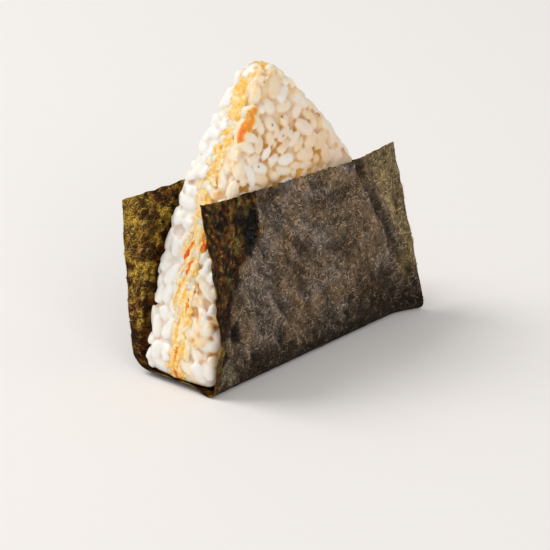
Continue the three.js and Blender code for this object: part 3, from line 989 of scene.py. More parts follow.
@dataclass(frozen=True)
class CrumbFinish:
    """Moist crumbs of filling in a savoury sauce: dense, yellow to orange, with a wet gloss."""

    pale: str = "#ffeec8"
    rich: str = "#fbc552"
    hot: str = "#ec5a18"
    scatter_mm: float = 1.0
    roughness: float = 0.3
    crumb_mm: float = 1.3
    fleck_mm: float = 0.8  # size of the roughness on each crumb

    def build(self, name: str) -> bpy.types.Material:
        """The material, which reads a crumb's tone: 0 pale, 0.5 rich, 1 hot."""
        material, tree = new_material(name)
        where = add_node(tree, "TexCoord").outputs["Object"]
        tone = add_node(tree, "Attribute", attribute_name="tone").outputs["Fac"]
        flecks = add_node(
            tree, "TexNoise", {"Vector": where, "Scale": pattern_scale(self.fleck_mm), "Detail": 3.0}
        ).outputs["Fac"]
        crumbs = add_node(tree, "TexVoronoi", {"Vector": where, "Scale": pattern_scale(self.crumb_mm)})
        crumb, edge = crumbs.outputs["Color"], crumbs.outputs["Distance"]
        drift = add_node(tree, "MapRange", {"Value": crumb, "To Min": -0.3, "To Max": 0.16}).outputs[0]
        seam = add_node(
            tree, "MapRange", {"Value": edge, "From Min": 0.35, "From Max": 0.75, "To Max": 0.12}
        ).outputs[0]
        toned = add_node(tree, "Math", {0: tone, 1: drift}, operation="ADD").outputs[0]
        grown = add_node(tree, "Math", {0: toned, 1: seam}, operation="ADD", use_clamp=True).outputs[0]
        shades = add_node(tree, "ValToRGB", {"Fac": grown})
        paint_ramp(shades.color_ramp, self.pale, self.rich, self.hot, at=0.5)
        height = add_node(tree, "Math", {0: flecks, 1: edge}, operation="SUBTRACT").outputs[0]
        bump = add_node(tree, "Bump", {"Height": height, "Strength": 0.8, "Distance": 0.4 * MM}).outputs[0]
        shader = add_node(
            tree, "BsdfPrincipled",
            {
                "Base Color": shades.outputs[0], "Roughness": self.roughness, "Normal": bump, "IOR": 1.4,
                "Subsurface Weight": 0.6, "Subsurface Radius": (1.0, 0.6, 0.3),
                "Subsurface Scale": self.scatter_mm * MM, "Specular IOR Level": 0.2,
            },
            subsurface_method="BURLEY",
        )
        add_node(tree, "OutputMaterial", {"Surface": shader.outputs[0]})
        return material


@dataclass(frozen=True)
class NoriFinish:
    """Toasted nori: a pressed felt of fine seaweed fibres, dry and dark with a low sheen."""

    tint: str  # the attribute that holds its colour from place to place
    roughness: tuple[float, float] = (0.5, 0.72)
    # length and width of the pressed fibres; real ones are half as wide and wouldn't show
    fibre_mm: tuple[float, float] = (2.0, 0.32)
    bend_mm: tuple[float, float] = (3.0, 2.4)  # length of the fibres' bends, and how far they wander
    blot_mm: float = 1.4  # size of the thick and thin places in the felt
    lays: int = 5  # directions that the fibres lie in
    # a fibre's lightness is partly its own pale colour, partly painted sheen
    shine: float = 2.0  # how much lighter a fibre is than the felt under it
    glint: str = "#2c251b"  # what a fibre adds to that

    def build(self, name: str) -> bpy.types.Material:
        """The material, which reads the strip's own map, in shares of its width, and its colour."""
        material, tree = new_material(name)
        width = NORI.width
        bend, wander = self.bend_mm
        where = add_node(tree, "UVMap", uv_map="strip").outputs[0]
        tint = add_node(tree, "Attribute", attribute_name=self.tint).outputs["Color"]
        warp = add_node(
            tree, "TexNoise", {"Vector": where, "Scale": width / bend, "Detail": 1.0}
        ).outputs["Color"]
        bent = add_node(
            tree, "VectorMath", {0: warp, 1: (wander / width,) * 3, 2: where}, operation="MULTIPLY_ADD"
        ).outputs[0]
        felt = None
        for lay in range(self.lays):
            turned = add_node(
                tree, "Mapping",
                {
                    "Vector": bent, "Rotation": (0.0, 0.0, math.pi * (lay + 0.3) / self.lays),
                    "Location": (lay * 3.1, lay * 1.7, lay * 2.3),
                    "Scale": (width / self.fibre_mm[0], width / self.fibre_mm[1], 1.0),
                },
            ).outputs[0]
            streak = add_node(
                tree, "TexNoise", {"Vector": turned, "Scale": 1.0, "Detail": 1.0}
            ).outputs["Fac"]
            felt = streak if felt is None else add_node(
                tree, "Math", {0: felt, 1: streak}, operation="MAXIMUM"
            ).outputs[0]
        strands = add_node(
            tree, "MapRange", {"Value": felt, "From Min": 0.62, "From Max": 0.76, "To Max": 0.6}
        ).outputs[0]
        blots = add_node(
            tree, "TexNoise", {"Vector": bent, "Scale": width / self.blot_mm, "Detail": 4.0}
        ).outputs["Fac"]
        shade = add_node(
            tree, "MapRange",
            {"Value": blots, "From Min": 0.34, "From Max": 0.62, "To Min": 0.6, "To Max": 1.2},
        ).outputs[0]
        body = add_node(tree, "VectorMath", {0: tint, "Scale": shade}, operation="SCALE").outputs[0]
        fibre = add_node(
            tree, "VectorMath", {0: tint, 1: (self.shine,) * 3, 2: linear(self.glint)[:3]},
            operation="MULTIPLY_ADD",
        ).outputs[0]
        colour = add_node(tree, "Mix", {0: strands, 6: body, 7: fibre}, data_type="RGBA").outputs[2]
        smooth, rough = self.roughness
        rough = add_node(
            tree, "MapRange",
            {"Value": blots, "From Min": 0.3, "From Max": 0.7, "To Min": rough, "To Max": smooth},
        ).outputs[0]
        height = add_node(tree, "Math", {0: felt, 1: blots}, operation="ADD").outputs[0]
        bump = add_node(tree, "Bump", {"Height": height, "Strength": 1.0, "Distance": 0.5 * MM}).outputs[0]
        shader = add_node(
            tree, "BsdfPrincipled",
            {
                "Base Color": colour, "Roughness": rough, "Normal": bump, "IOR": 1.45,
                "Specular IOR Level": 0.08,
            },
        )
        add_node(tree, "OutputMaterial", {"Surface": shader.outputs[0]})
        return material


@dataclass(frozen=True)
class FibreFinish:
    """Loose seaweed fibres: dry hairs with a faint sheen, as dark or as pale as each one is painted."""

    roughness: float = 0.5
    wear_mm: float = 0.5  # size of the paler and darker stretches along a fibre

    def build(self, name: str) -> bpy.types.Material:
        """The material, which reads the fibres' own colour."""
        material, tree = new_material(name)
        tint = add_node(tree, "Attribute", attribute_name="tint").outputs["Color"]
        where = add_node(tree, "TexCoord").outputs["Object"]
        worn = add_node(
            tree, "TexNoise", {"Vector": where, "Scale": pattern_scale(self.wear_mm), "Detail": 1.0}
        ).outputs["Fac"]
        shade = add_node(tree, "MapRange", {"Value": worn, "To Min": 0.6, "To Max": 1.4}).outputs[0]
        colour = add_node(tree, "VectorMath", {0: tint, "Scale": shade}, operation="SCALE").outputs[0]
        shader = add_node(
            tree, "BsdfPrincipled",
            {"Base Color": colour, "Roughness": self.roughness, "IOR": 1.45, "Specular IOR Level": 0.25},
        )
        add_node(tree, "OutputMaterial", {"Surface": shader.outputs[0]})
        return material


@dataclass(frozen=True)
class PaperFinish:
    """Matt white board: near white, with no gloss that shows."""

    colour: str = "#f4f1ee"
    roughness: float = 0.85
    tooth_mm: float = 1.5  # coarser than a real board's, which wouldn't show

    def build(self, name: str) -> bpy.types.Material:
        """The material."""
        material, tree = new_material(name)
        where = add_node(tree, "TexCoord").outputs["Object"]
        tooth = add_node(
            tree, "TexNoise", {"Vector": where, "Scale": pattern_scale(self.tooth_mm), "Detail": 2.0}
        ).outputs["Fac"]
        bump = add_node(tree, "Bump", {"Height": tooth, "Strength": 0.1, "Distance": 0.1 * MM}).outputs[0]
        shader = add_node(
            tree, "BsdfPrincipled",
            {"Base Color": linear(self.colour), "Roughness": self.roughness, "Normal": bump},
        )
        add_node(tree, "OutputMaterial", {"Surface": shader.outputs[0]})
        return material


# ---- rice ----
@dataclass(frozen=True)
class Layer:
    """One layer of grains: how deep its middles lie under the skin, and how closely it is laid."""

    sink: float
    give: float
    side_give: float  # the same on the narrow sides
    tries: int
    tilt: float = 0.3


@dataclass
class RiceHalf:
    """One half of the ball: a pressed core with grains over it wherever it shows, as one closed skin."""

    side: Side
    seed: int
    soak_and_shade: tuple[float, float]  # how tan the hollows and deep places are, as painted shade tinted warm and partly as sauce taken up by the rice: on the narrow sides, on the flat face
    milky: tuple[float, float]  # how much milkier and whiter it is than usual, in the same places; partly painted light, whitest on the back half's narrow side, where the light falls
    length: float = 6.4  # a grain's, as are the next two
    width: float = 3.7
    depth: float = 3.0
    spread: float = 0.15  # how much larger or smaller a grain may be
    plump: tuple[float, float] = (0.92, 1.12)  # the same across it
    roll: float = 0.35
    gap: float = 0.3  # between the grains and the strip, and how far the core overlaps the filling's rim
    core_sink: tuple[float, float] = (2.1, 2.9)  # on the narrow sides, on the flat face
    core_steps: tuple[int, int] = (132, 40)
    layers: tuple[Layer, ...] = (
        Layer(1.2, 0.37, 0.24, 14000), Layer(2.6, 0.46, 0.46, 20000), Layer(3.2, 0.54, 0.54, 12000),
    )
    slope_strip: float = 15.0  # under the nori, grains lie on the face only this far in from the slopes
    nori_strip: float = 5.0  # and this far down from the nori's cut end
    moved_most: float = 2.5  # a grain that would have to move further to clear the strip is left out
    upright_share: float = 0.1  # grains that stand with an end outwards
    upright_tilt: tuple[float, float] = (0.6, 1.1)
    variants: int = 7
    cells: tuple[float, float] = (0.5, 0.44)  # how finely the mass and the finished half are drawn
    rounds: tuple[int, int] = (4, 1)  # how often each is softened
    # what lies less deep is pressed back, by which share of that, and how much the pits are filled: where
    # the rice is loose, where it is firm
    knee: tuple[float, float] = (0.7, 1.4)
    press: tuple[float, float] = (0.4, 0.75)
    fill: tuple[float, float] = (0.0, 0.85)
    milk: tuple[float, float] = (0.35, 1.0)  # how milky a grain is
    golden: tuple[float, float] = (0.15, 0.45)  # how much sauce a stuck crumb has
    crease_mm: float = 0.21  # how deep a crease is that counts in full
    crease_rounds: int = 14  # how far the skin is blurred that creases are measured from
    crumb_tries: int = 2600
    crumb_radii: tuple[float, float] = (0.3, 0.7)
    # specks of nori on the front's grains, as X and height
    specks: tuple[tuple[float, float], ...] = (
        (-7.2, 80.5), (-2.9, 69.7), (-10.2, 70.0), (-7.7, 68.8), (-0.8, 65.8), (-4.3, 64.8), (-15.5, 59.2),
    )

    BEADS = np.array([-0.7, -0.38, 0.0, 0.38, 0.7])  # along a grain, in shares of its half length
    BEAD_SIZES = np.array([0.7, 0.92, 1.0, 0.92, 0.7])
    RINGS = 8  # the seam's rim is ring 1, the narrow side ends at 3 and the rounded edge at 5
    FACE_X = (-44, 42)  # the box that holds the flat face
    FACE_Z = (4, 84)

    def core_points(self, u: Array, down: Array) -> Array:
        """Places on the core's skin, from the middle of the seam to the middle of the face."""
        shape, side = RICE, self.side.value
        ring = down * self.RINGS
        seam = shape.seam(u, side) - side * self.gap
        out_x, out_z, _ = shape.outline(u)
        sink = self.core_sink[0] * shape.showing(u)
        sink *= 1 - 0.6 * ease(out_z, 75.0, 80.0)
        sink *= 1 - 0.3 * ease(out_x, 5.0, 15.0)
        rim_x, rim_z, _ = shape.outline(u, sink)
        room = shape.half(rim_z) / shape.thickness
        edge = shape.edge_radius * room
        turned = np.clip((ring - 3) / 2, 0, 1) * (math.pi / 2)
        within = shape.corner_radius - 0.2
        x, z, _ = shape.outline(u, np.minimum(sink + edge * (1 - np.cos(turned)), within))
        to_middle = np.clip((ring - 5) / 3, 0, 1)
        x, z = blend(x, shape.middle[0], to_middle), blend(z, shape.middle[1], to_middle)
        inset = self.core_sink[1] * room * np.maximum(1 - np.sin(turned), ease(z, 44.0, 50.0))
        outer = side * np.maximum(shape.half(z) - inset - edge * (1 - np.sin(turned)), 1.2 * side * seam)
        y = blend(seam, outer, np.clip((ring - 1) / 2, 0, 1))
        to_rim = np.minimum(ring, 1)
        x = np.where(ring < 1, blend(shape.middle[0], rim_x, to_rim), x)
        z = np.where(ring < 1, blend(shape.middle[1], rim_z, to_rim), z)
        middle_y = side * (shape.filling_share * shape.thickness + self.gap)
        y = np.where(ring < 1, blend(middle_y, seam, to_rim), y)
        return np.stack([x, shape.middle_y(z) + y, z], -1)

    def grain_stocks(self, random: Random) -> list[Stock]:
        """A few kinds of cooked grain: plump, a little bent, blunt at one end, dented where the germ was."""
        ball = Stock.of_ball(8, 7)
        stocks = []
        for _ in range(self.variants):
            x, y, z = ball.corners.T
            round_it = np.arctan2(y, x)
            taper = random.uniform(-0.14, 0.14)
            germ_at, around_at, along_at = (random.uniform(0, 6) for _ in range(3))
            bend = random.uniform(0.02, 0.16)
            plump = np.hypot(x, y) ** 0.8 * (1 + taper * z)
            germ = 1 - 0.22 * hump(z - 0.75, 0.25) * ease(np.cos(round_it - germ_at), 0.2, 1)
            lump = 1 + 0.05 * np.sin(2 * round_it + around_at) + 0.04 * np.sin(5 * z + along_at)
            bent_x = np.cos(round_it) * plump * germ * lump + bend * (2 * z * z - 1)
            across = np.sin(round_it) * plump * germ * lump
            stocks.append(Stock(np.stack([bent_x, across, z], -1), ball.faces))
        return stocks

    def places(self, layer: Layer, random: Random) -> tuple[Array, Array]:
        """Where the middles of a layer's grains may lie.

        Args:
            layer: The layer.
            random: The source of chance.

        Returns:
            The places and the outward directions there, in random order.
        """
        shape, side = RICE, self.side.value
        u = random.uniform(0, 1, layer.tries)
        height = shape.outline(u)[1]
        room = shape.half(height)
        y = shape.seam(u, side) + side * random.uniform(-0.6, 1, layer.tries) * room
        y = np.where(np.abs(y) > room, side * room * random.uniform(0.4, 1, layer.tries), y)
        sink = layer.sink * random.uniform(0.75, 1.3, layer.tries)
        rim, rim_out = shape.rim(u, y, sink)
        keep = (height > 0.9) & (side * (y - shape.drift(u)) > -0.25 * shape.filling_half(u))
        keep &= random.random(layer.tries) > BAND.bare_of_grains(rim[:, 0], y, height)
        x, z = (random.uniform(*span, layer.tries) for span in (self.FACE_X, self.FACE_Z))
        near_slope = np.abs(x) > shape.slope_x(x, z) - self.slope_strip
        over_nori = z > NORI.top(x, side) - self.nori_strip
        shows = shape.on_face(x, z, 4.0) & (near_slope | over_nori) & (shape.half(z) > sink)
        face, face_out = shape.face(x, z, side, sink)
        places = np.concatenate([rim[keep], face[shows]])
        out = np.concatenate([rim_out[keep], face_out[shows]])
        order = random.permutation(len(places))
        return places[order], out[order]

    def moved_in(self, beads: Array, radii: Array) -> Array:
        """How far each grain has to move so that it lies inside the strip and above the base."""
        side = self.side.value
        x, y, z = np.moveaxis(beads, -1, 0)
        under = z - radii < NORI.top(x, side) + self.gap
        over = side * (y - NORI.y(x, z, side)) + radii + self.gap
        step_in = np.where(under, over, 0.0).max(1).clip(0)
        step_up = (RICE.base + radii - z).max(1).clip(0)
        return np.stack([np.zeros_like(step_in), -side * step_in, step_up], -1)

    def lay(self, layer: Layer, bed: Bed, stocks: Sequence[Stock], random: Random) -> Heap:
        """Lays one layer of grains.

        Args:
            layer: The layer.
            bed: What lies there already; the grains are added to it.
            stocks: The kinds of grain.
            random: The source of chance.

        Returns:
            The grains.
        """
        heap, before = Heap(), bed.count
        place, out = self.places(layer, random)
        many = len(place)
        lying = np.array([0.0, 1.0, 0.0]) * ease(place[:, 2:], 8.0, 3.0) * random.choice([-4, 4], (many, 1))
        around = random.normal(size=(many, 3)) + lying
        around = unit(around - out * dot(around, out)[:, None])
        upright = random.random(many) < self.upright_share
        tilts = random.uniform(*self.upright_tilt, many), random.normal(0, layer.tilt, many)
        tilt = np.where(upright, *tilts)[:, None]
        size = 1 + self.spread * random.uniform(-1, 1, (many, 1))
        halves = np.array([self.depth, self.width, self.length]) * size / 2
        halves[:, :2] *= random.uniform(*self.plump, (many, 1))
        place = place - out * 0.42 * halves[:, 2:] * np.abs(np.sin(tilt))
        long = around * np.cos(tilt) + out * np.sin(tilt)
        thin = out * np.cos(tilt) - around * np.sin(tilt)
        flat = np.cross(long, thin)
        roll = random.normal(0, self.roll, (many, 1))
        thin, flat = thin * np.cos(roll) + flat * np.sin(roll), flat * np.cos(roll) - thin * np.sin(roll)
        beads = place[:, None] + self.BEADS[None, :, None] * (halves[:, 2:] * long)[:, None]
        radii = self.BEAD_SIZES * halves[:, :2].mean(1, keepdims=True)
        shift = self.moved_in(beads, radii)
        place, beads = place + shift, np.concatenate([beads + shift[:, None], radii[..., None]], -1)
        give = np.where(np.abs(out[:, 1]) > 0.7, layer.give, layer.side_give)
        for i in np.flatnonzero(np.abs(shift).max(1) < self.moved_most):
            if bed.fits(beads[i], give[i]):
                bed.add(beads[i])
                stock = stocks[random.integers(len(stocks))]
                turn = np.stack([thin[i], flat[i], long[i]])
                heap.add(place[i] + (stock.corners * halves[i]) @ turn, stock.faces)
        LOG.info("%s: %d grains %.1f mm deep", self.side.word, bed.count - before, layer.sink)
        return heap

    def build(self, bed: Bed, finish: bpy.types.Material) -> None:
        """Makes the half: a soft mass of pressed grains, with the outermost ones standing out from it.

        Args:
            bed: What lies there already.
            finish: The rice's material.
        """
        name = f"rice_{self.side.word}"
        random = np.random.default_rng(self.seed)
        stocks = self.grain_stocks(random)
        first = bed.count
        top = self.lay(self.layers[0], bed, stocks, random).mesh("top")
        beads = bed.beads[first : bed.count]
        deep = [self.lay(layer, bed, stocks, random).mesh("deep") for layer in self.layers[1:]]
        mass = Skin("mass", [wrapped_ball("core", *self.core_steps, self.core_points), *deep], self.cells[0])
        mass.soften(self.rounds[0])
        crumbs, crumb_beads = self.crumbs(random)
        skin = Skin(f"{name}_grains", [mass.mesh, top, crumbs.mesh("crumbs")], self.cells[1])
        firm = self.firmness(skin.places)
        knee, press, fill = (blend(*ends, firm) for ends in (self.knee, self.press, self.fill))
        skin.places = RICE.pressed(skin.places, knee, press, fill)
        skin.soften(self.rounds[1])
        self.dress(skin, beads, crumb_beads, random)
        add_piece(f"{name}_grains", skin.mesh, [finish], [name])

    def firmness(self, places: Array) -> Array:
        """How firmly the mould has pressed each place: most at the front's right part."""
        if self.side is Side.FRONT:
            edge = places[:, 0] + 4 * Ripple(16.0, self.seed + 5)(places)
            return (0.5 + 0.5 * self.at_face(places)) * ease(edge, 0.0, 16.0)
        return 0.1 + 0.25 * ease(places[:, 2], 30.0, 55.0)

    def at_face(self, places: Array) -> Array:
        """1 on the half's flat face, 0 on the narrow sides."""
        x, y, z = places.T
        return fade(RICE.half(z) - self.side.value * (y - RICE.middle_y(z)), 0.5, 3.5)

    def crumbs(self, random: Random) -> tuple[Heap, Array]:
        """Lays the crumbs of filling that stick to the grains beside the filling.

        Args:
            random: The source of chance.

        Returns:
            The crumbs, and their places and radii, one row each.
        """
        shape, side, heap, beads = RICE, self.side.value, Heap(), []
        ball = Stock.of_ball(6, 5)
        many = self.crumb_tries
        u = random.uniform(0, 1, many)
        x, height, _ = shape.outline(u)
        reach = np.array(BAND.edges(x, height))[0 if side < 0 else 1]
        seam = shape.seam(u, side)
        y = blend(seam, reach, random.uniform(0, 1, many) ** 1.4)
        places, _ = shape.rim(u, y, random.uniform(0.1, 0.9, many))
        chance = ease(Ripple(5.0, 23)(places), -0.5, 0.5) * (0.35 + BAND.crumbliness(height))
        keep = (side * (reach - seam) > 0.5) & (height > 2) & (random.random(many) < chance)
        for place in places[keep]:
            radius = random.uniform(*self.crumb_radii)
            rough = 1 + random.uniform(-0.3, 0.3, (len(ball.corners), 1))
            heap.add(place + ball.corners * rough * radius * random.uniform(0.8, 1.5, 3), ball.faces)
            beads.append((*place, radius))
        return heap, np.array(beads)

    def dress(self, skin: Skin, beads: Array, crumbs: Array, random: Random) -> None:
        """Paints how milky, how deep and how much in sauce each place is.

        Args:
            skin: The half's skin.
            beads: The beads of the outermost grains.
            crumbs: The places and radii of the crumbs.
            random: The source of chance.
        """
        places, side, firm = skin.places, self.side.value, self.firmness(skin.places)
        x, y, z = places.T
        at_face, over_nori = self.at_face(places), z - NORI.top(x, side)
        # painted shade, tinted warm and partly standing for sauce taken up by the rice: the hollows between
        # the grains are tan, most of all low on the flat face, and the firm rice all over
        soak_and_shade = blend(*self.soak_and_shade, at_face) * (0.85 + 0.4 * Ripple(15.0, self.seed + 2)(places))
        soak_and_shade += 0.9 * at_face * fade(over_nori, 0.0, 5.0)
        # less painted shade high on the flat face
        soak_and_shade *= 1 - 0.6 * at_face * ease(z, 64.0, 76.0)
        hollow = np.clip(skin.hollows(self.crease_rounds) / self.crease_mm, 0, 1)
        depth = np.clip(0.5 * ease(RICE.under_skin(places), 0.8, 3.0) + 0.9 * hollow, 0, 1)
        depth *= 1 - 0.75 * firm
        # painted shade over the flat face, deeper towards the right, where less light falls
        depth += at_face * (0.06 + 0.17 * ease(x + 6 * Ripple(14.0, self.seed + 6)(places), -8.0, 10.0))
        # each of the outermost grains has its own milkiness
        bead, off = skin.nearest(beads[..., :3].reshape(-1, 3))
        on_top = fade(off - beads[..., 3].ravel()[bead], 0.1, 0.7)
        own = random.uniform(*self.milk, len(beads))[bead // self.BEADS.size]
        milk = blend(0.25 + 0.25 * Ripple(9.0, self.seed + 3)(places), own, on_top)
        # each half's extra whiteness, partly painted light on the side that the light falls on
        milk = blend(milk, 0.45, 0.45 * firm * at_face) + blend(*self.milky, at_face)
        # sauce lies in the band, on the crumbs and in a pool above the nori's cut end
        crumb, away = skin.nearest(crumbs[:, :3])
        golden = random.uniform(*self.golden, len(crumbs))[crumb] * fade(away / crumbs[crumb, 3], 0.9, 1.5)
        pool = ease(x, -18.0, -9.0) * fade(x, 4.0, 14.0) * fade(over_nori, 1.0, 6.0)
        pool *= 0.6 * at_face * hollow * (side < 0)
        sauce = np.max([BAND.sauce(places, hollow), golden, pool], axis=0)
        speck = np.max([fade(np.hypot(x - at_x, z - at_z), 0.1, 0.48) for at_x, at_z in self.specks], axis=0)
        skin.paint(
            milk=np.clip(milk, 0, 1), depth=np.clip(depth * soak_and_shade, 0, 1), sauce=np.clip(sauce, 0, 1),
            speck=speck * at_face * (side < 0),
        )


# ---- filling ----
@dataclass
class Filling:
    """The savoury layer: crumbs pressed on a core that runs through the ball, with shreds along its rim."""

    seed: int = 41
    core_sink: float = 1.3
    core_steps: tuple[int, int] = (176, 16)
    crumb_tries: int = 9000
    crumb_radii: tuple[float, float] = (0.3, 0.7)
    cell: float = 0.4
    shreds: int = 150
    tones: tuple[float, ...] = (0.06, 0.2, 0.45, 0.9)  # of pale, yellow, golden and red shreds
    tone_shares: tuple[float, ...] = (0.33, 0.37, 0.27, 0.03)
    # from and to, as distance from the middle plane and height, then width and tone
    placed: tuple[tuple[tuple[float, float], tuple[float, float], float, float], ...] = (
        ((-4.5, 42.6), (-4.7, 37.8), 1.2, 0.92), ((-1.5, 35.6), (-0.1, 32.2), 0.8, 1.0),
        ((-3.1, 26.4), (-2.1, 21.8), 1.1, 0.9), ((-0.7, 13.0), (-0.5, 8.4), 0.8, 0.9),
        ((-10.8, 23.4), (-12.4, 21.4), 0.8, 0.72), ((-2.5, 35.8), (-1.2, 27.0), 1.3, 0.2),
        ((-3.9, 38.5), (-2.9, 30.5), 1.3, 0.3), ((-0.9, 29.5), (0.9, 21.5), 1.2, 0.15),
        ((-4.3, 30.5), (-3.2, 22.5), 1.2, 0.1), ((1.6, 27.5), (2.2, 21.0), 1.1, 0.35),
    )

    RIM = (4, 12)  # the rings of the core's skin between which its rim lies

    def core_points(self, u: Array, down: Array) -> Array:
        """Places on the layer's skin: flat on both sides, uneven along its rim."""
        shape = RICE
        first, last = self.RIM
        across = np.clip(1 - 2 * (down * self.core_steps[1] - first) / (last - first), -1, 1)
        sink = self.core_sink * shape.showing(u) + 0.5 * across * across
        x, z, _ = shape.outline(u, sink)
        y = blend(shape.seam(u, -1), shape.seam(u, 1), (across + 1) / 2)
        to_rim = np.clip(np.minimum(down, 1 - down) * 4, 0, 1)
        flat = np.sign(0.5 - down) * shape.filling_share * shape.thickness
        x, z = blend(shape.middle[0], x, to_rim), blend(shape.middle[1], z, to_rim)
        y = blend(flat, y, to_rim)
        return np.stack([x, shape.middle_y(z) + y, z], -1)

    def crumbs(self, random: Random) -> Heap:
        """Lays the crumbs on the layer."""
        shape, heap = RICE, Heap()
        ball = Stock.of_ball(6, 5)
        many = self.crumb_tries
        u = random.uniform(0, 1, many)
        height = shape.outline(u)[1]
        crumbly = BAND.crumbliness(height)
        front, back = shape.seam(u, -1) - 0.6 - crumbly, shape.seam(u, 1) + 0.6 + 0.5 * crumbly
        y = blend(front, back, random.uniform(0, 1, many))
        places, _ = shape.rim(u, y, random.uniform(0.6, 1.5, many))
        for i in np.flatnonzero((height > 1.2) & (random.random(many) < crumbly * crumbly)):
            turn = np.linalg.qr(random.normal(size=(3, 3)))[0]
            turn *= np.sign(np.linalg.det(turn))
            rough = 1 + random.uniform(-0.28, 0.28, (len(ball.corners), 1))
            stretch = random.uniform(*self.crumb_radii) * random.uniform(0.8, 1.4, 3)
            heap.add(places[i] + (ball.corners * rough * stretch) @ turn, ball.faces)
        return heap

    def tone(self, places: Array, hollows: Array) -> Array:
        """How dark the filling is at each place: 0 pale, 0.5 golden, 1 red; hollows are in millimetres."""
        streaky = places * (1.0, 1.0, 0.3)
        patches = 0.35 + 0.13 * Ripple(7.0, self.seed + 1)(places)
        patches += 0.14 * Ripple(1.8, self.seed + 2)(streaky)
        z = places[:, 2]
        patches += 0.1 * np.clip(hollows / 0.2, -0.8, 1)
        patches += 0.04 * ease(z, 68.0, 78.0) + 0.16 * hump(z - 17.0, 4.0)
        patches = np.minimum(patches, 1.0 - 0.45 * ease(z, 74.0, 78.0))
        return np.clip(np.maximum(patches, BAND.stain(places)), 0.03, 1)

    def strands(self, random: Random) -> Heap:
        """Lays the shreds: flat fibres that run up and down the band, most pale or yellow, a few red."""
        shape, heap = RICE, Heap()
        ball = Stock.of_ball(8, 22)
        x, y, z = ball.corners.T
        runs = [(start, end, width, tone, shape.u_at(start[1])) for start, end, width, tone in self.placed]
        for _ in range(self.shreds):
            u = random.uniform(0, 1)
            x0, height, _ = shape.outline(np.array(u))
            if height < 5 or random.random() < ease(height, 50.0, 78.0):
                continue
            front, back = BAND.edges(x0, height)
            middle = random.uniform(min(float(shape.seam(u, -1)), 0.6 * front) - 0.2, back + 0.2)
            length, lean = random.uniform(5, 10), random.normal(0.12, 0.2)
            tone = float(random.choice(self.tones, p=self.tone_shares))
            end = (middle + length * lean, height - length)
            runs.append(((middle, height), end, random.uniform(0.8, 1.5), tone, u))
        for (y0, z0), (y1, z1), width, tone, u in runs:
            wave, phase = random.uniform(0.1, 0.35), random.uniform(0, 6)
            share = (z + 1) / 2
            way = math.hypot(z1 - z0, y1 - y0) / shape.length * share
            line = blend(y0, y1, share) + wave * np.sin(z * 3 + phase) + y * width / 2
            sunk = 0.75 - x * 0.45 * width - 0.25 * np.cos(z * 1.6)
            down = np.where(u > shape.tip_u, way, -way)  # which is downwards on both slopes
            corners, _ = shape.rim(u + down, line, sunk)
            heap.add(corners, ball.faces, tone=np.clip(tone + 0.12 * np.sin(3 * y + phase), 0, 1))
        return heap

    def build(self, finish: bpy.types.Material) -> None:
        """Makes the layer with its crumbs and shreds."""
        random = np.random.default_rng(self.seed)
        crumbs, shreds = self.crumbs(random), self.strands(random)
        core = wrapped_ball("core", *self.core_steps, self.core_points)
        skin = Skin("filling_layer", [core, crumbs.mesh("crumbs"), shreds.mesh("shreds")], self.cell)
        skin.soften(1)
        near, off = skin.nearest(np.concatenate(shreds.corners))
        tone = self.tone(skin.places, skin.hollows(8))
        skin.paint(tone=blend(tone, np.concatenate(shreds.tones)[near], fade(off, 0.35, 0.7)))
        add_piece("filling_layer", skin.mesh, [finish], ["filling"])


# ---- nori ----
def mixed(one: Array, other: Array, share: Array | float) -> Array:
    """Two lots of colours, one row each, mixed by a share for each row."""
    return blend(one, other, np.clip(share, 0, 1)[:, None])


def shade(colour: str) -> Array:
    """An sRGB hex colour as linear red, green and blue."""
    return np.array(linear(colour)[:3])


@dataclass(frozen=True)
class Patch:
    """A patch on the strip's front: its middle, and how far it reaches each way."""

    x: float
    z: float
    wide: float
    high: float
    colour: str
    strength: float = 1.0

    def amount(self, x: Array, z: Array) -> Array:
        """How much of it lies at each place."""
        away = np.hypot((x - self.x) / self.wide, (z - self.z) / self.high)
        return self.strength * fade(away, 0.6, 1.15)


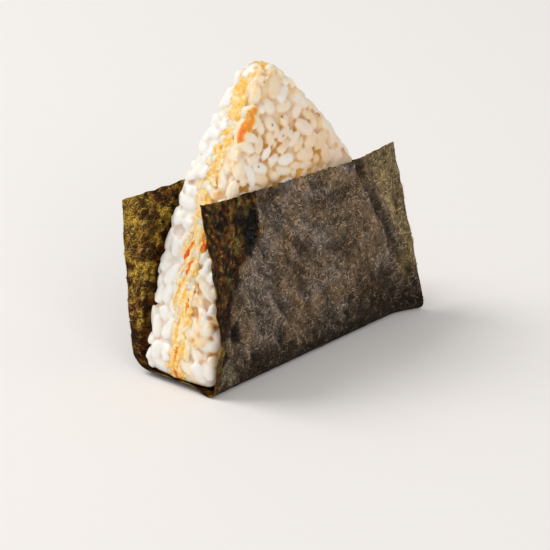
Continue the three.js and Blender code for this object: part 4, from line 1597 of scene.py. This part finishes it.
@dataclass(frozen=True)
class NoriTints:
    """The strip's colours: grey-brown felt with some painted sheen, a free left strip painted amber as if lit
    through from behind, painted shade at the foot and in the right fold, and a golden inner side with painted
    light through it and painted shade near the rice.
    """

    brown: str = "#705c46"
    # grey: the felt's greyer places, partly painted sheen
    grey: str = "#716458"
    # umber: dark mottling, and the painted shade at the foot and in the right fold's valley
    umber: str = "#1a1008"
    # olive: the free flap past the right fold, an olive tone made lighter as painted light
    olive: str = "#7c6a49"
    # ember, amber, moss and rust: the free left strip, painted as if lit through from behind, with near-black
    # and rust mottling
    ember: str = "#160802"
    amber: str = "#6a4310"
    moss: str = "#665f28"
    rust: str = "#431c07"
    # inner side's gold, brown and dark: the gold is partly painted light that comes through the sheet from
    # behind, the dark partly painted shade near the rice and low down
    gold: tuple[str, str, str] = ("#a3822c", "#5f3a14", "#1e0e03")
    # a height, and how far the free strip at the left edge reaches to the right there; with no rice behind
    # it, it is painted amber and olive as if lit through from behind, which is painted transmitted light
    backlit_strip: tuple[tuple[float, float], ...] = (
        (0.0, -41.5), (15.6, -39.2), (20.8, -37.0), (25.7, -34.2), (30.2, -31.0), (34.4, -29.8),
        (37.7, -22.5), (42.2, -20.2), (51.0, -19.3), (57.0, -18.0),
    )
    fold: tuple[float, float, float] = (44.0, 21.5, 53.0)  # the right fold's X at foot and top, its height
    # patches on the front, by middle and reach: near-black and dark red ones on the free left strip, a dark
    # one by the top edge, olive-grey at the strip's lower corner, olive on the right flap as painted light;
    # the dark ones at the lower right, along the foot and at the right fold's top are painted shade
    patches: tuple[Patch, ...] = (
        Patch(-22.8, 44.6, 3.6, 6.8, "#080402"), Patch(-28.0, 48.5, 3.4, 2.6, "#120803", 0.8),
        Patch(-25.0, 39.0, 2.6, 3.2, "#0c0603", 0.9), Patch(-14.0, 51.0, 6.0, 2.4, "#261a0e", 0.75),
        Patch(-31.5, 31.5, 2.2, 4.5, "#240d04", 0.8), Patch(-37.5, 22.0, 3.2, 4.5, "#2b1004", 0.8),
        Patch(-33.0, 16.5, 3.4, 3.2, "#140a05", 0.9), Patch(-38.0, 11.0, 2.4, 1.6, "#0f0905", 0.9),
        Patch(-36.5, 5.5, 4.5, 3.8, "#6f654d", 0.7), Patch(38.5, 15.5, 3.0, 7.0, "#75652f", 0.4),
        Patch(27.0, 10.0, 11.0, 9.0, "#33261a", 0.75), Patch(-20.0, 4.5, 12.0, 4.5, "#281c11", 0.6),
        Patch(19.0, 50.5, 2.4, 2.2, "#1c130b", 0.7),
    )

    def outer(self, x: Array, places: Array, rise: Array) -> Array:
        """Colours of the side away from the rice.

        Args:
            x: Place across the strip.
            places: The places.
            rise: -1 in hollows to 1 on ridges.

        Returns:
            Linear colours, one row each.
        """
        y, z = places[:, 1], places[:, 2]
        front = fade(y, -6.0, 4.0)
        slow, patchy, fine = (Ripple(wave, seed)(places) for wave, seed in ((12.0, 31), (4.5, 32), (1.7, 33)))
        # brown felt with greyer places, partly painted sheen
        tint = mixed(shade(self.brown), shade(self.grey), ease(slow + 0.5 * patchy, -0.6, 0.9))
        tint = mixed(tint, shade(self.umber), 0.3 * ease(fine + 0.3 * patchy, 0.0, 1.0))
        # painted shade: the front darkens towards its foot, more on the right
        low = fade(z + 2.5 * patchy + 1.5 * fine - 0.06 * x, 1.0, 15.0)
        tint = mixed(tint, shade(self.umber), 0.95 * low)
        # painted light: past the right fold the free flap is lighter and olive
        foot, top, height = self.fold
        past = x - blend(foot, top, z / height) + 0.7 * patchy
        tint = mixed(tint, shade(self.olive), front * ease(past, 1.5, 4.5) * ease(z, 3.0, 12.0))
        # painted shade along the valley of the right fold
        tint = mixed(tint, shade(self.umber), 0.7 * front * hump(past + 0.8 * fine, 1.4))
        # painted transmitted light: the free left strip is amber and olive as if lit through from behind,
        # mottled near-black and rust
        heights, reach = np.array(self.backlit_strip).T
        thin = ease(np.interp(z, heights, reach) + 0.9 * patchy + 0.6 * fine - x, -0.6, 0.6) * front
        lumpy = Ripple(2.3, 34)(places) + 0.5 * Ripple(7.0, 38)(places)
        glow = mixed(shade(self.ember), shade(self.amber), ease(lumpy, -0.3, 0.9))
        glow = mixed(glow, shade(self.moss), 0.75 * ease(Ripple(2.6, 35)(places) + 0.4 * slow, 0.1, 0.8))
        glow = mixed(glow, shade(self.rust), 0.75 * ease(Ripple(5.0, 36)(places), 0.3, 0.7))
        tint = mixed(tint, glow, thin)
        warp = np.stack([x + 0.9 * patchy + 0.5 * fine, z + 0.9 * Ripple(4.0, 37)(places)])
        for patch in self.patches:
            tint = mixed(tint, shade(patch.colour), patch.amount(*warp) * front)
        # painted shade in the wrinkles' hollows and painted light on their ridges
        return tint * np.clip(1 + 0.7 * rise + 0.2 * fine, 0.3, 2)[:, None]

    def inner(self, x: Array, places: Array, rise: Array) -> Array:
        """Colours of the side towards the rice, with the same arguments."""
        z = places[:, 2]
        slow, patchy, fine = (Ripple(wave, seed)(places) for wave, seed in ((10.0, 41), (3.6, 42), (1.5, 43)))
        gold, brown, dark = (shade(colour) for colour in self.gold)
        # gold, partly painted light through the sheet, going browner lower down
        tint = mixed(gold, brown, ease(slow + 0.6 * patchy + 0.7 * fade(z, 34.0, 48.0), -0.5, 0.8))
        # painted shade: the inner side darkens near the rice and low down, with mottling
        shade_by_rice = fade(np.abs(x) - RICE.slope_x(x, z), -4.0, 7.0)
        low = 0.6 * fade(z, 4.0, 30.0) + 0.5 * hump(z - 28.0, 9.0)
        cover = 0.42 + 0.58 * np.maximum(shade_by_rice, low)
        tint = mixed(tint, dark, cover * ease(patchy + 0.8 * fine, -0.6, 0.8))
        # painted shade in the wrinkles' hollows and painted light on their ridges
        return tint * np.clip(1 + 0.6 * rise + 0.25 * fine, 0.3, 2)[:, None]


@dataclass
class NoriStrip:
    """The strip of nori: one thin sheet, wrinkled, creased where it leaves the rice and ragged at one end."""

    step: float = 0.65
    thickness: float = 0.34
    wrinkle: float = 0.42
    pucker: float = 0.24
    lump: float = 0.08
    fine: float = 0.04
    fray: float = 0.4
    # a height, and how far the front's free left edge is drawn in there, as a share of curl_by
    curl: tuple[tuple[float, float], ...] = (
        (0.0, 0.0), (7.0, 0.45), (12.0, 0.5), (13.5, 0.95), (17.0, 1.0), (21.0, 0.85), (28.0, 0.5),
        (36.0, 0.22), (50.0, 0.0),
    )
    curl_by: tuple[float, float, float] = (1.0, -0.8, 0.0)
    # the front's two folds: X at the top and at the foot, height and depth
    folds: tuple[tuple[float, float, float, float], ...] = (
        (20.5, 44.0, 53.0, 0.6), (-19.6, -31.0, 51.4, 0.2),
    )
    tints: NoriTints = field(default_factory=NoriTints)

    def build(self, outer: bpy.types.Material, inner: bpy.types.Material, edge: bpy.types.Material) -> None:
        """Makes the strip.

        Args:
            outer: Material of the side away from the rice.
            inner: Material of the side towards it.
            edge: Material of the cut edge.
        """
        across, along = round(NORI.width / self.step), round(NORI.length / self.step)
        bm = bmesh.new()
        bmesh.ops.create_grid(bm, x_segments=across, y_segments=along, size=0.5)
        flat = np.array([vert.co for vert in bm.verts])
        x, way = flat[:, 0] * NORI.width, (0.5 - flat[:, 1]) * NORI.length
        places, out, rise = self.places(x, way)
        for vert, place in zip(bm.verts, places * MM, strict=True):
            vert.co = place
        layer = bm.loops.layers.uv.new("strip")
        for face in bm.faces:
            for loop in face.loops:
                i = loop.vert.index
                loop[layer].uv = (x[i] / NORI.width, way[i] / NORI.width)
        mesh = to_mesh(bm, "nori_strip")
        paint_colour(mesh, "outer_tint", self.tints.outer(x, places, rise))
        paint_colour(mesh, "inner_tint", self.tints.inner(x, places, rise))
        mesh.shade_smooth()
        if Vector(mesh.polygons[0].normal).dot(Vector(out[0])) < 0:
            mesh.flip_normals()
        piece = add_piece("nori_strip", mesh, [outer, inner, edge], ["nori"])
        shell = piece.modifiers.new("Thickness", "SOLIDIFY")
        shell.thickness, shell.offset = self.thickness * MM, 0.0
        shell.material_offset, shell.material_offset_rim = 1, 2

    def places(self, x: Array, way: Array) -> tuple[Array, Array, Array]:
        """The strip's middle surface with its wrinkles, creases, torn spot and ragged end.

        Args:
            x: Place across the strip.
            way: Length along it from the front's cut end.

        Returns:
            The places, the outward directions, and -1 in hollows to 1 on ridges.
        """
        base = NORI.point(x, way)
        out = NORI.out(x, way)
        relief = self.relief(x, base)
        places = base + out * (relief + self.crease(x, base))[:, None]
        z, front = base[:, 2], base[:, 1] < 0
        drawn_in = ease(-x, 30.0, 42.5) * front * np.interp(z, *np.array(self.curl).T)
        places += drawn_in[:, None] * self.curl_by
        places[:, 2] += 0.9 * self.wrap(x) * ease(base[:, 1], -12.0, -5.0) * fade(z, 4.0, 14.0)
        after, before = (NORI.point(x, np.clip(way + step, 0, NORI.length)) for step in (0.2, -0.2))
        torn = ease(x, -20.0, -14.0) * fade(x, 19.0, 22.0)
        fray = blend(0.07, self.fray, torn * (way < NORI.length / 2))
        noise = Ripple(2.6, 6)(base) + 0.8 * Ripple(1.0, 7)(base) + 1.3 * hump(x + 1.3, 0.9)
        end = np.minimum(way, NORI.length - way)
        ragged = np.sign(way - NORI.length / 2) * fray * noise * ease(1.6 - end, 0.0, 1.6)
        places += unit(after - before) * ragged[:, None]
        places[:, 2] = np.maximum(places[:, 2], self.thickness / 2)
        return places, out, np.clip(relief / (self.wrinkle + self.pucker), -1, 1)

    def wrap(self, x: Array) -> Array:
        """How far the sheet's left end is lifted where it clings to the rice's rounded lower corner."""
        corner = RICE.corners[2]
        past = np.clip(corner.x - x, 0, corner.radius - 0.5)
        return corner.radius - np.sqrt(corner.radius**2 - past**2)

    def relief(self, x: Array, base: Array) -> Array:
        """How far the sheet swells: wrinkles that run steeply down to the right, and lumps."""
        z = base[:, 2]
        lean = blend(0.5, 0.1, ease(x, 0.0, 22.0))
        across = x * np.sqrt(1 - lean * lean) + z * lean + 0.8 * Ripple(14.0, 2)(base)
        flow = np.stack([across, 0.32 * z, np.where(base[:, 1] < 0, 0.0, 40.0)], -1)
        stood = ease(z, 1.0, 9.0)
        ridges = 1 - 2.2 * np.clip(np.abs(Ripple(8.0, 3)(flow)), 0, 0.9) ** 0.7
        wrinkles = self.wrinkle * (0.65 * ridges + 0.5 * Ripple(4.0, 11)(flow))
        wrinkles += self.pucker * Ripple(2.2, 12)(flow)
        lumps = self.lump * Ripple(4.2, 4)(base) * (0.4 + 0.6 * stood)
        return wrinkles * stood + lumps + self.fine * Ripple(1.5, 5)(base)

    def crease(self, x: Array, base: Array) -> Array:
        """The two sharp folds of the front, where the strip leaves the rice."""
        z, front = base[:, 2], base[:, 1] < 0
        shift = np.zeros_like(x)
        for top_x, foot_x, height, depth in self.folds:
            away = (x - blend(foot_x, top_x, z / height)) * math.copysign(1, top_x)
            shift += depth * (0.6 * hump(away - 2.0, 1.3) - hump(away, 0.9))
        return np.where(front, shift * ease(z, 4.0, 14.0), 0.0)


@dataclass
class NoriFibres:
    """Loose seaweed fibres: short curly hairs that lie on the strip, some pale and some dark."""

    strip: NoriStrip
    seed: int = 67
    many: int = 24000
    inner_share: float = 0.25
    length: tuple[float, float] = (0.7, 2.0)
    width: tuple[float, float] = (0.14, 0.26)  # as wide as they need to be to show
    lift: tuple[float, float] = (0.02, 0.12)
    curl: float = 0.22
    # pale hairs on the outer side, golden ones on the inner: partly their own colour, partly painted sheen,
    # and on the inner side painted light through the sheet
    pale: str = "#d0c1a8"
    gold: str = "#d9bf70"
    shares: tuple[float, float] = (0.42, 0.38)  # of pale and of dark ones

    WAIST = np.array([0.35, 1.0, 1.0, 0.9, 0.3])

    def build(self, finish: bpy.types.Material) -> None:
        """Makes the fibres as flat ribbons, each bent along its way."""
        random = np.random.default_rng(self.seed)
        many, links = self.many, len(self.WAIST) - 1
        inner = random.random(many) < self.inner_share
        across = random.uniform(-0.5, 0.5, many)
        x = np.where(inner, np.copysign(0.5 - 0.4 * np.abs(across), across), across) * NORI.width
        way = np.where(inner, random.uniform(0.62, 1.0, many), random.uniform(0.0, 1.0, many)) * NORI.length
        heading = random.uniform(0, 2 * math.pi, many)
        turns = heading[:, None] + random.normal(0, self.curl, (many, 1)) * np.arange(links + 1)
        reach = random.uniform(*self.length, (many, 1)) / links
        ahead = np.stack([np.cos(turns), np.sin(turns)])
        line = np.stack([x, way])[..., None] + np.cumsum(reach * ahead, 2)
        half = random.uniform(*self.width, (many, 1)) / 2 * self.WAIST
        aside = np.stack([-np.sin(turns), np.cos(turns)]) * half
        ribbons = np.stack([line - aside, line + aside], -1).reshape(2, -1)
        on_x = np.clip(ribbons[0], -NORI.width / 2 - 0.15, NORI.width / 2 + 0.15)
        on_way = np.clip(ribbons[1], 0.02, NORI.length - 0.02)
        places, out, rise = self.strip.places(on_x, on_way)
        each = 2 * (links + 1)
        side = np.repeat(np.where(inner, -1.0, 1.0), each)
        lift = np.repeat(random.uniform(*self.lift, many), each) + self.strip.thickness / 2
        tint = self.tint(on_x, places, rise, side, random)
        past_rice = np.abs(places[:, 0]) > RICE.slope_x(places[:, 0], places[:, 2]) - 4.0
        free, above = (test.reshape(many, each).all(1) for test in (past_rice, places[:, 2] > 1.2))
        keep = above & (free | ~inner)
        places = (places + out * (side * lift)[:, None]).reshape(many, each, 3)[keep]
        rungs = 2 * np.arange(links)[:, None] + [0, 1, 3, 2]
        faces = (each * np.arange(len(places))[:, None, None] + rungs).reshape(-1, 4)
        mesh = bpy.data.meshes.new("nori_fibres")
        mesh.from_pydata((places.reshape(-1, 3) * MM).tolist(), [], faces.tolist())
        paint_colour(mesh, "tint", tint.reshape(many, each, 3)[keep].reshape(-1, 3))
        mesh.shade_smooth()
        add_piece("nori_fibres", mesh, [finish])

    def tint(self, x: Array, places: Array, rise: Array, side: Array, random: Random) -> Array:
        """The fibres' colours: each is paler or darker than the felt that it lies on."""
        tints = self.strip.tints
        outer = side > 0
        felt = np.where(outer[:, None], tints.outer(x, places, rise), tints.inner(x, places, rise))
        pale_share, dark_share = self.shares
        chance = np.repeat(random.random(self.many), 2 * len(self.WAIST))
        strength = np.repeat(random.uniform(0.2, 1.0, self.many), 2 * len(self.WAIST))
        hair = np.where(outer[:, None], shade(self.pale), shade(self.gold))
        light = np.clip(felt.sum(1) / shade(tints.brown).sum(), 0.2, 1)
        showing = 0.6 + 0.5 * Ripple(9.0, self.seed)(places) + 0.4 * fade(places[:, 2], 6.0, 22.0)
        plainness = ease(felt[:, 2] / felt[:, 0], 0.1, 0.3)
        light *= np.where(outer, np.clip(showing, 0.2, 1) * (0.4 + 0.6 * plainness), 1.0)
        pale = mixed(felt * (1.6 + strength)[:, None], hair, np.where(outer, 0.5, 0.75) * strength * light)
        dark = felt * (0.5 - 0.35 * strength)[:, None]
        plain = felt * (0.8 + 0.6 * strength)[:, None]
        fibre = np.where((chance < pale_share)[:, None], pale, plain)
        return np.clip(np.where((chance > 1 - dark_share)[:, None], dark, fibre), 0, 1)


# ---- what stands around it ----
@dataclass(frozen=True)
class Lamp:
    """A square soft light that faces the onigiri, in metres."""

    name: str
    place: tuple[float, float, float]
    size: float
    power: float
    colour: str

    def build(self) -> None:
        """Hangs the lamp."""
        light = bpy.data.lights.new(self.name, "AREA")
        light.size, light.energy, light.color = self.size, self.power, linear(self.colour)[:3]
        lamp = add_object(self.name, light)
        lamp.location = self.place
        lamp.rotation_mode = "QUATERNION"
        lamp.rotation_quaternion = Vector(self.place).to_track_quat("Z", "Y")


@dataclass(frozen=True)
class Studio:
    """A pale floor, soft daylight from behind on the left, and the camera."""

    floor_size: float = 12.0
    azimuth: float = -47.0  # degrees; 0 looks along +Y
    elevation: float = 23.5
    roll: float = 1.5
    distance_mm: float = 1028.57
    frame_pixels: int = 550
    focal_pixels: float = 3600.0
    aim_pixels: tuple[float, float] = (-6.0, 64.5)  # the frame's middle, from where the origin falls in it
    lamps: tuple[Lamp, ...] = (
        Lamp("key", (-0.42, 0.8, 1.25), 0.75, 11.9, "#fffdfa"),
        Lamp("fill", (-1.4, -2.2, 1.5), 1.8, 25.5, "#fffcf8"),
    )
    sky: str = "#f7f6f6"
    sky_strength: float = 0.52

    def build(self) -> None:
        """Makes the floor, the lights and the camera."""
        bm = bmesh.new()
        bmesh.ops.create_grid(bm, x_segments=4, y_segments=4, size=self.floor_size / 2)
        mesh = to_mesh(bm, "floor")
        mesh.materials.append(PaperFinish().build("matt_white_board"))
        floor = add_object("floor", mesh)
        for lamp in self.lamps:
            lamp.build()
        self.air()
        self.camera()
        bpy.context.scene.view_settings.view_transform = "Standard"

    def air(self) -> None:
        """The even light of the room."""
        world = bpy.data.worlds.new("room")
        world.use_nodes = True
        world.node_tree.nodes.clear()
        light = add_node(
            world.node_tree, "Background", {"Color": linear(self.sky), "Strength": self.sky_strength}
        )
        add_node(world.node_tree, "OutputWorld", {"Surface": light.outputs[0]})
        bpy.context.scene.world = world

    def camera(self) -> None:
        """The camera, turned a little so that it needs no shift."""
        a, e, r = (math.radians(v) for v in (self.azimuth, self.elevation, self.roll))
        back = Vector((math.sin(a) * math.cos(e), -math.cos(a) * math.cos(e), math.sin(e)))
        right = Vector((math.cos(a), math.sin(a), 0.0))
        up = back.cross(right)
        across = right * math.cos(r) - up * math.sin(r)
        upward = right * math.sin(r) + up * math.cos(r)
        to_scene = -back * self.focal_pixels + across * self.aim_pixels[0] + upward * self.aim_pixels[1]
        z = -to_scene.normalized()
        x = (across - z * across.dot(z)).normalized()
        y = z.cross(x)
        data = bpy.data.cameras.new("camera")
        data.sensor_width = 36.0
        data.lens = data.sensor_width * self.focal_pixels / self.frame_pixels
        data.clip_start, data.clip_end = 0.05, 60.0
        camera = add_object("camera", data)
        turn = Matrix((x, y, z)).transposed().to_4x4()
        camera.matrix_world = Matrix.Translation(back * self.distance_mm * MM) @ turn
        bpy.context.scene.camera = camera


def main() -> None:
    """Builds the onigiri and its studio."""
    logging.basicConfig(level=logging.INFO, format="%(name)s: %(message)s")
    for lamp_or_camera in [o for o in bpy.context.scene.objects if o.type in {"LIGHT", "CAMERA"}]:
        bpy.data.objects.remove(lamp_or_camera)
    rice = RiceFinish().build("cooked_short_grain_rice")
    crumb = CrumbFinish().build("savoury_crumbs")
    outer = NoriFinish("outer_tint").build("toasted_nori_smooth_side")
    inner = NoriFinish("inner_tint", glint="#32240a", roughness=(0.55, 0.75)).build("toasted_nori_rough_side")
    edge = NoriFinish("inner_tint", shine=1.3, glint="#140c05").build("toasted_nori_cut_edge")
    fibre = FibreFinish().build("loose_seaweed_fibres")
    bed = Bed()
    RiceHalf(Side.FRONT, seed=7, soak_and_shade=(0.55, 1.3), milky=(0.2, 0.0)).build(bed, rice)
    # the back half's narrow side is the whitest: painted light from behind
    RiceHalf(Side.BACK, seed=19, soak_and_shade=(0.25, 1.0), milky=(0.7, 0.1)).build(bed, rice)
    Filling().build(crumb)
    strip = NoriStrip()
    strip.build(outer, inner, edge)
    NoriFibres(strip).build(fibre)
    Studio().build()


if __name__ == "__main__":
    main()
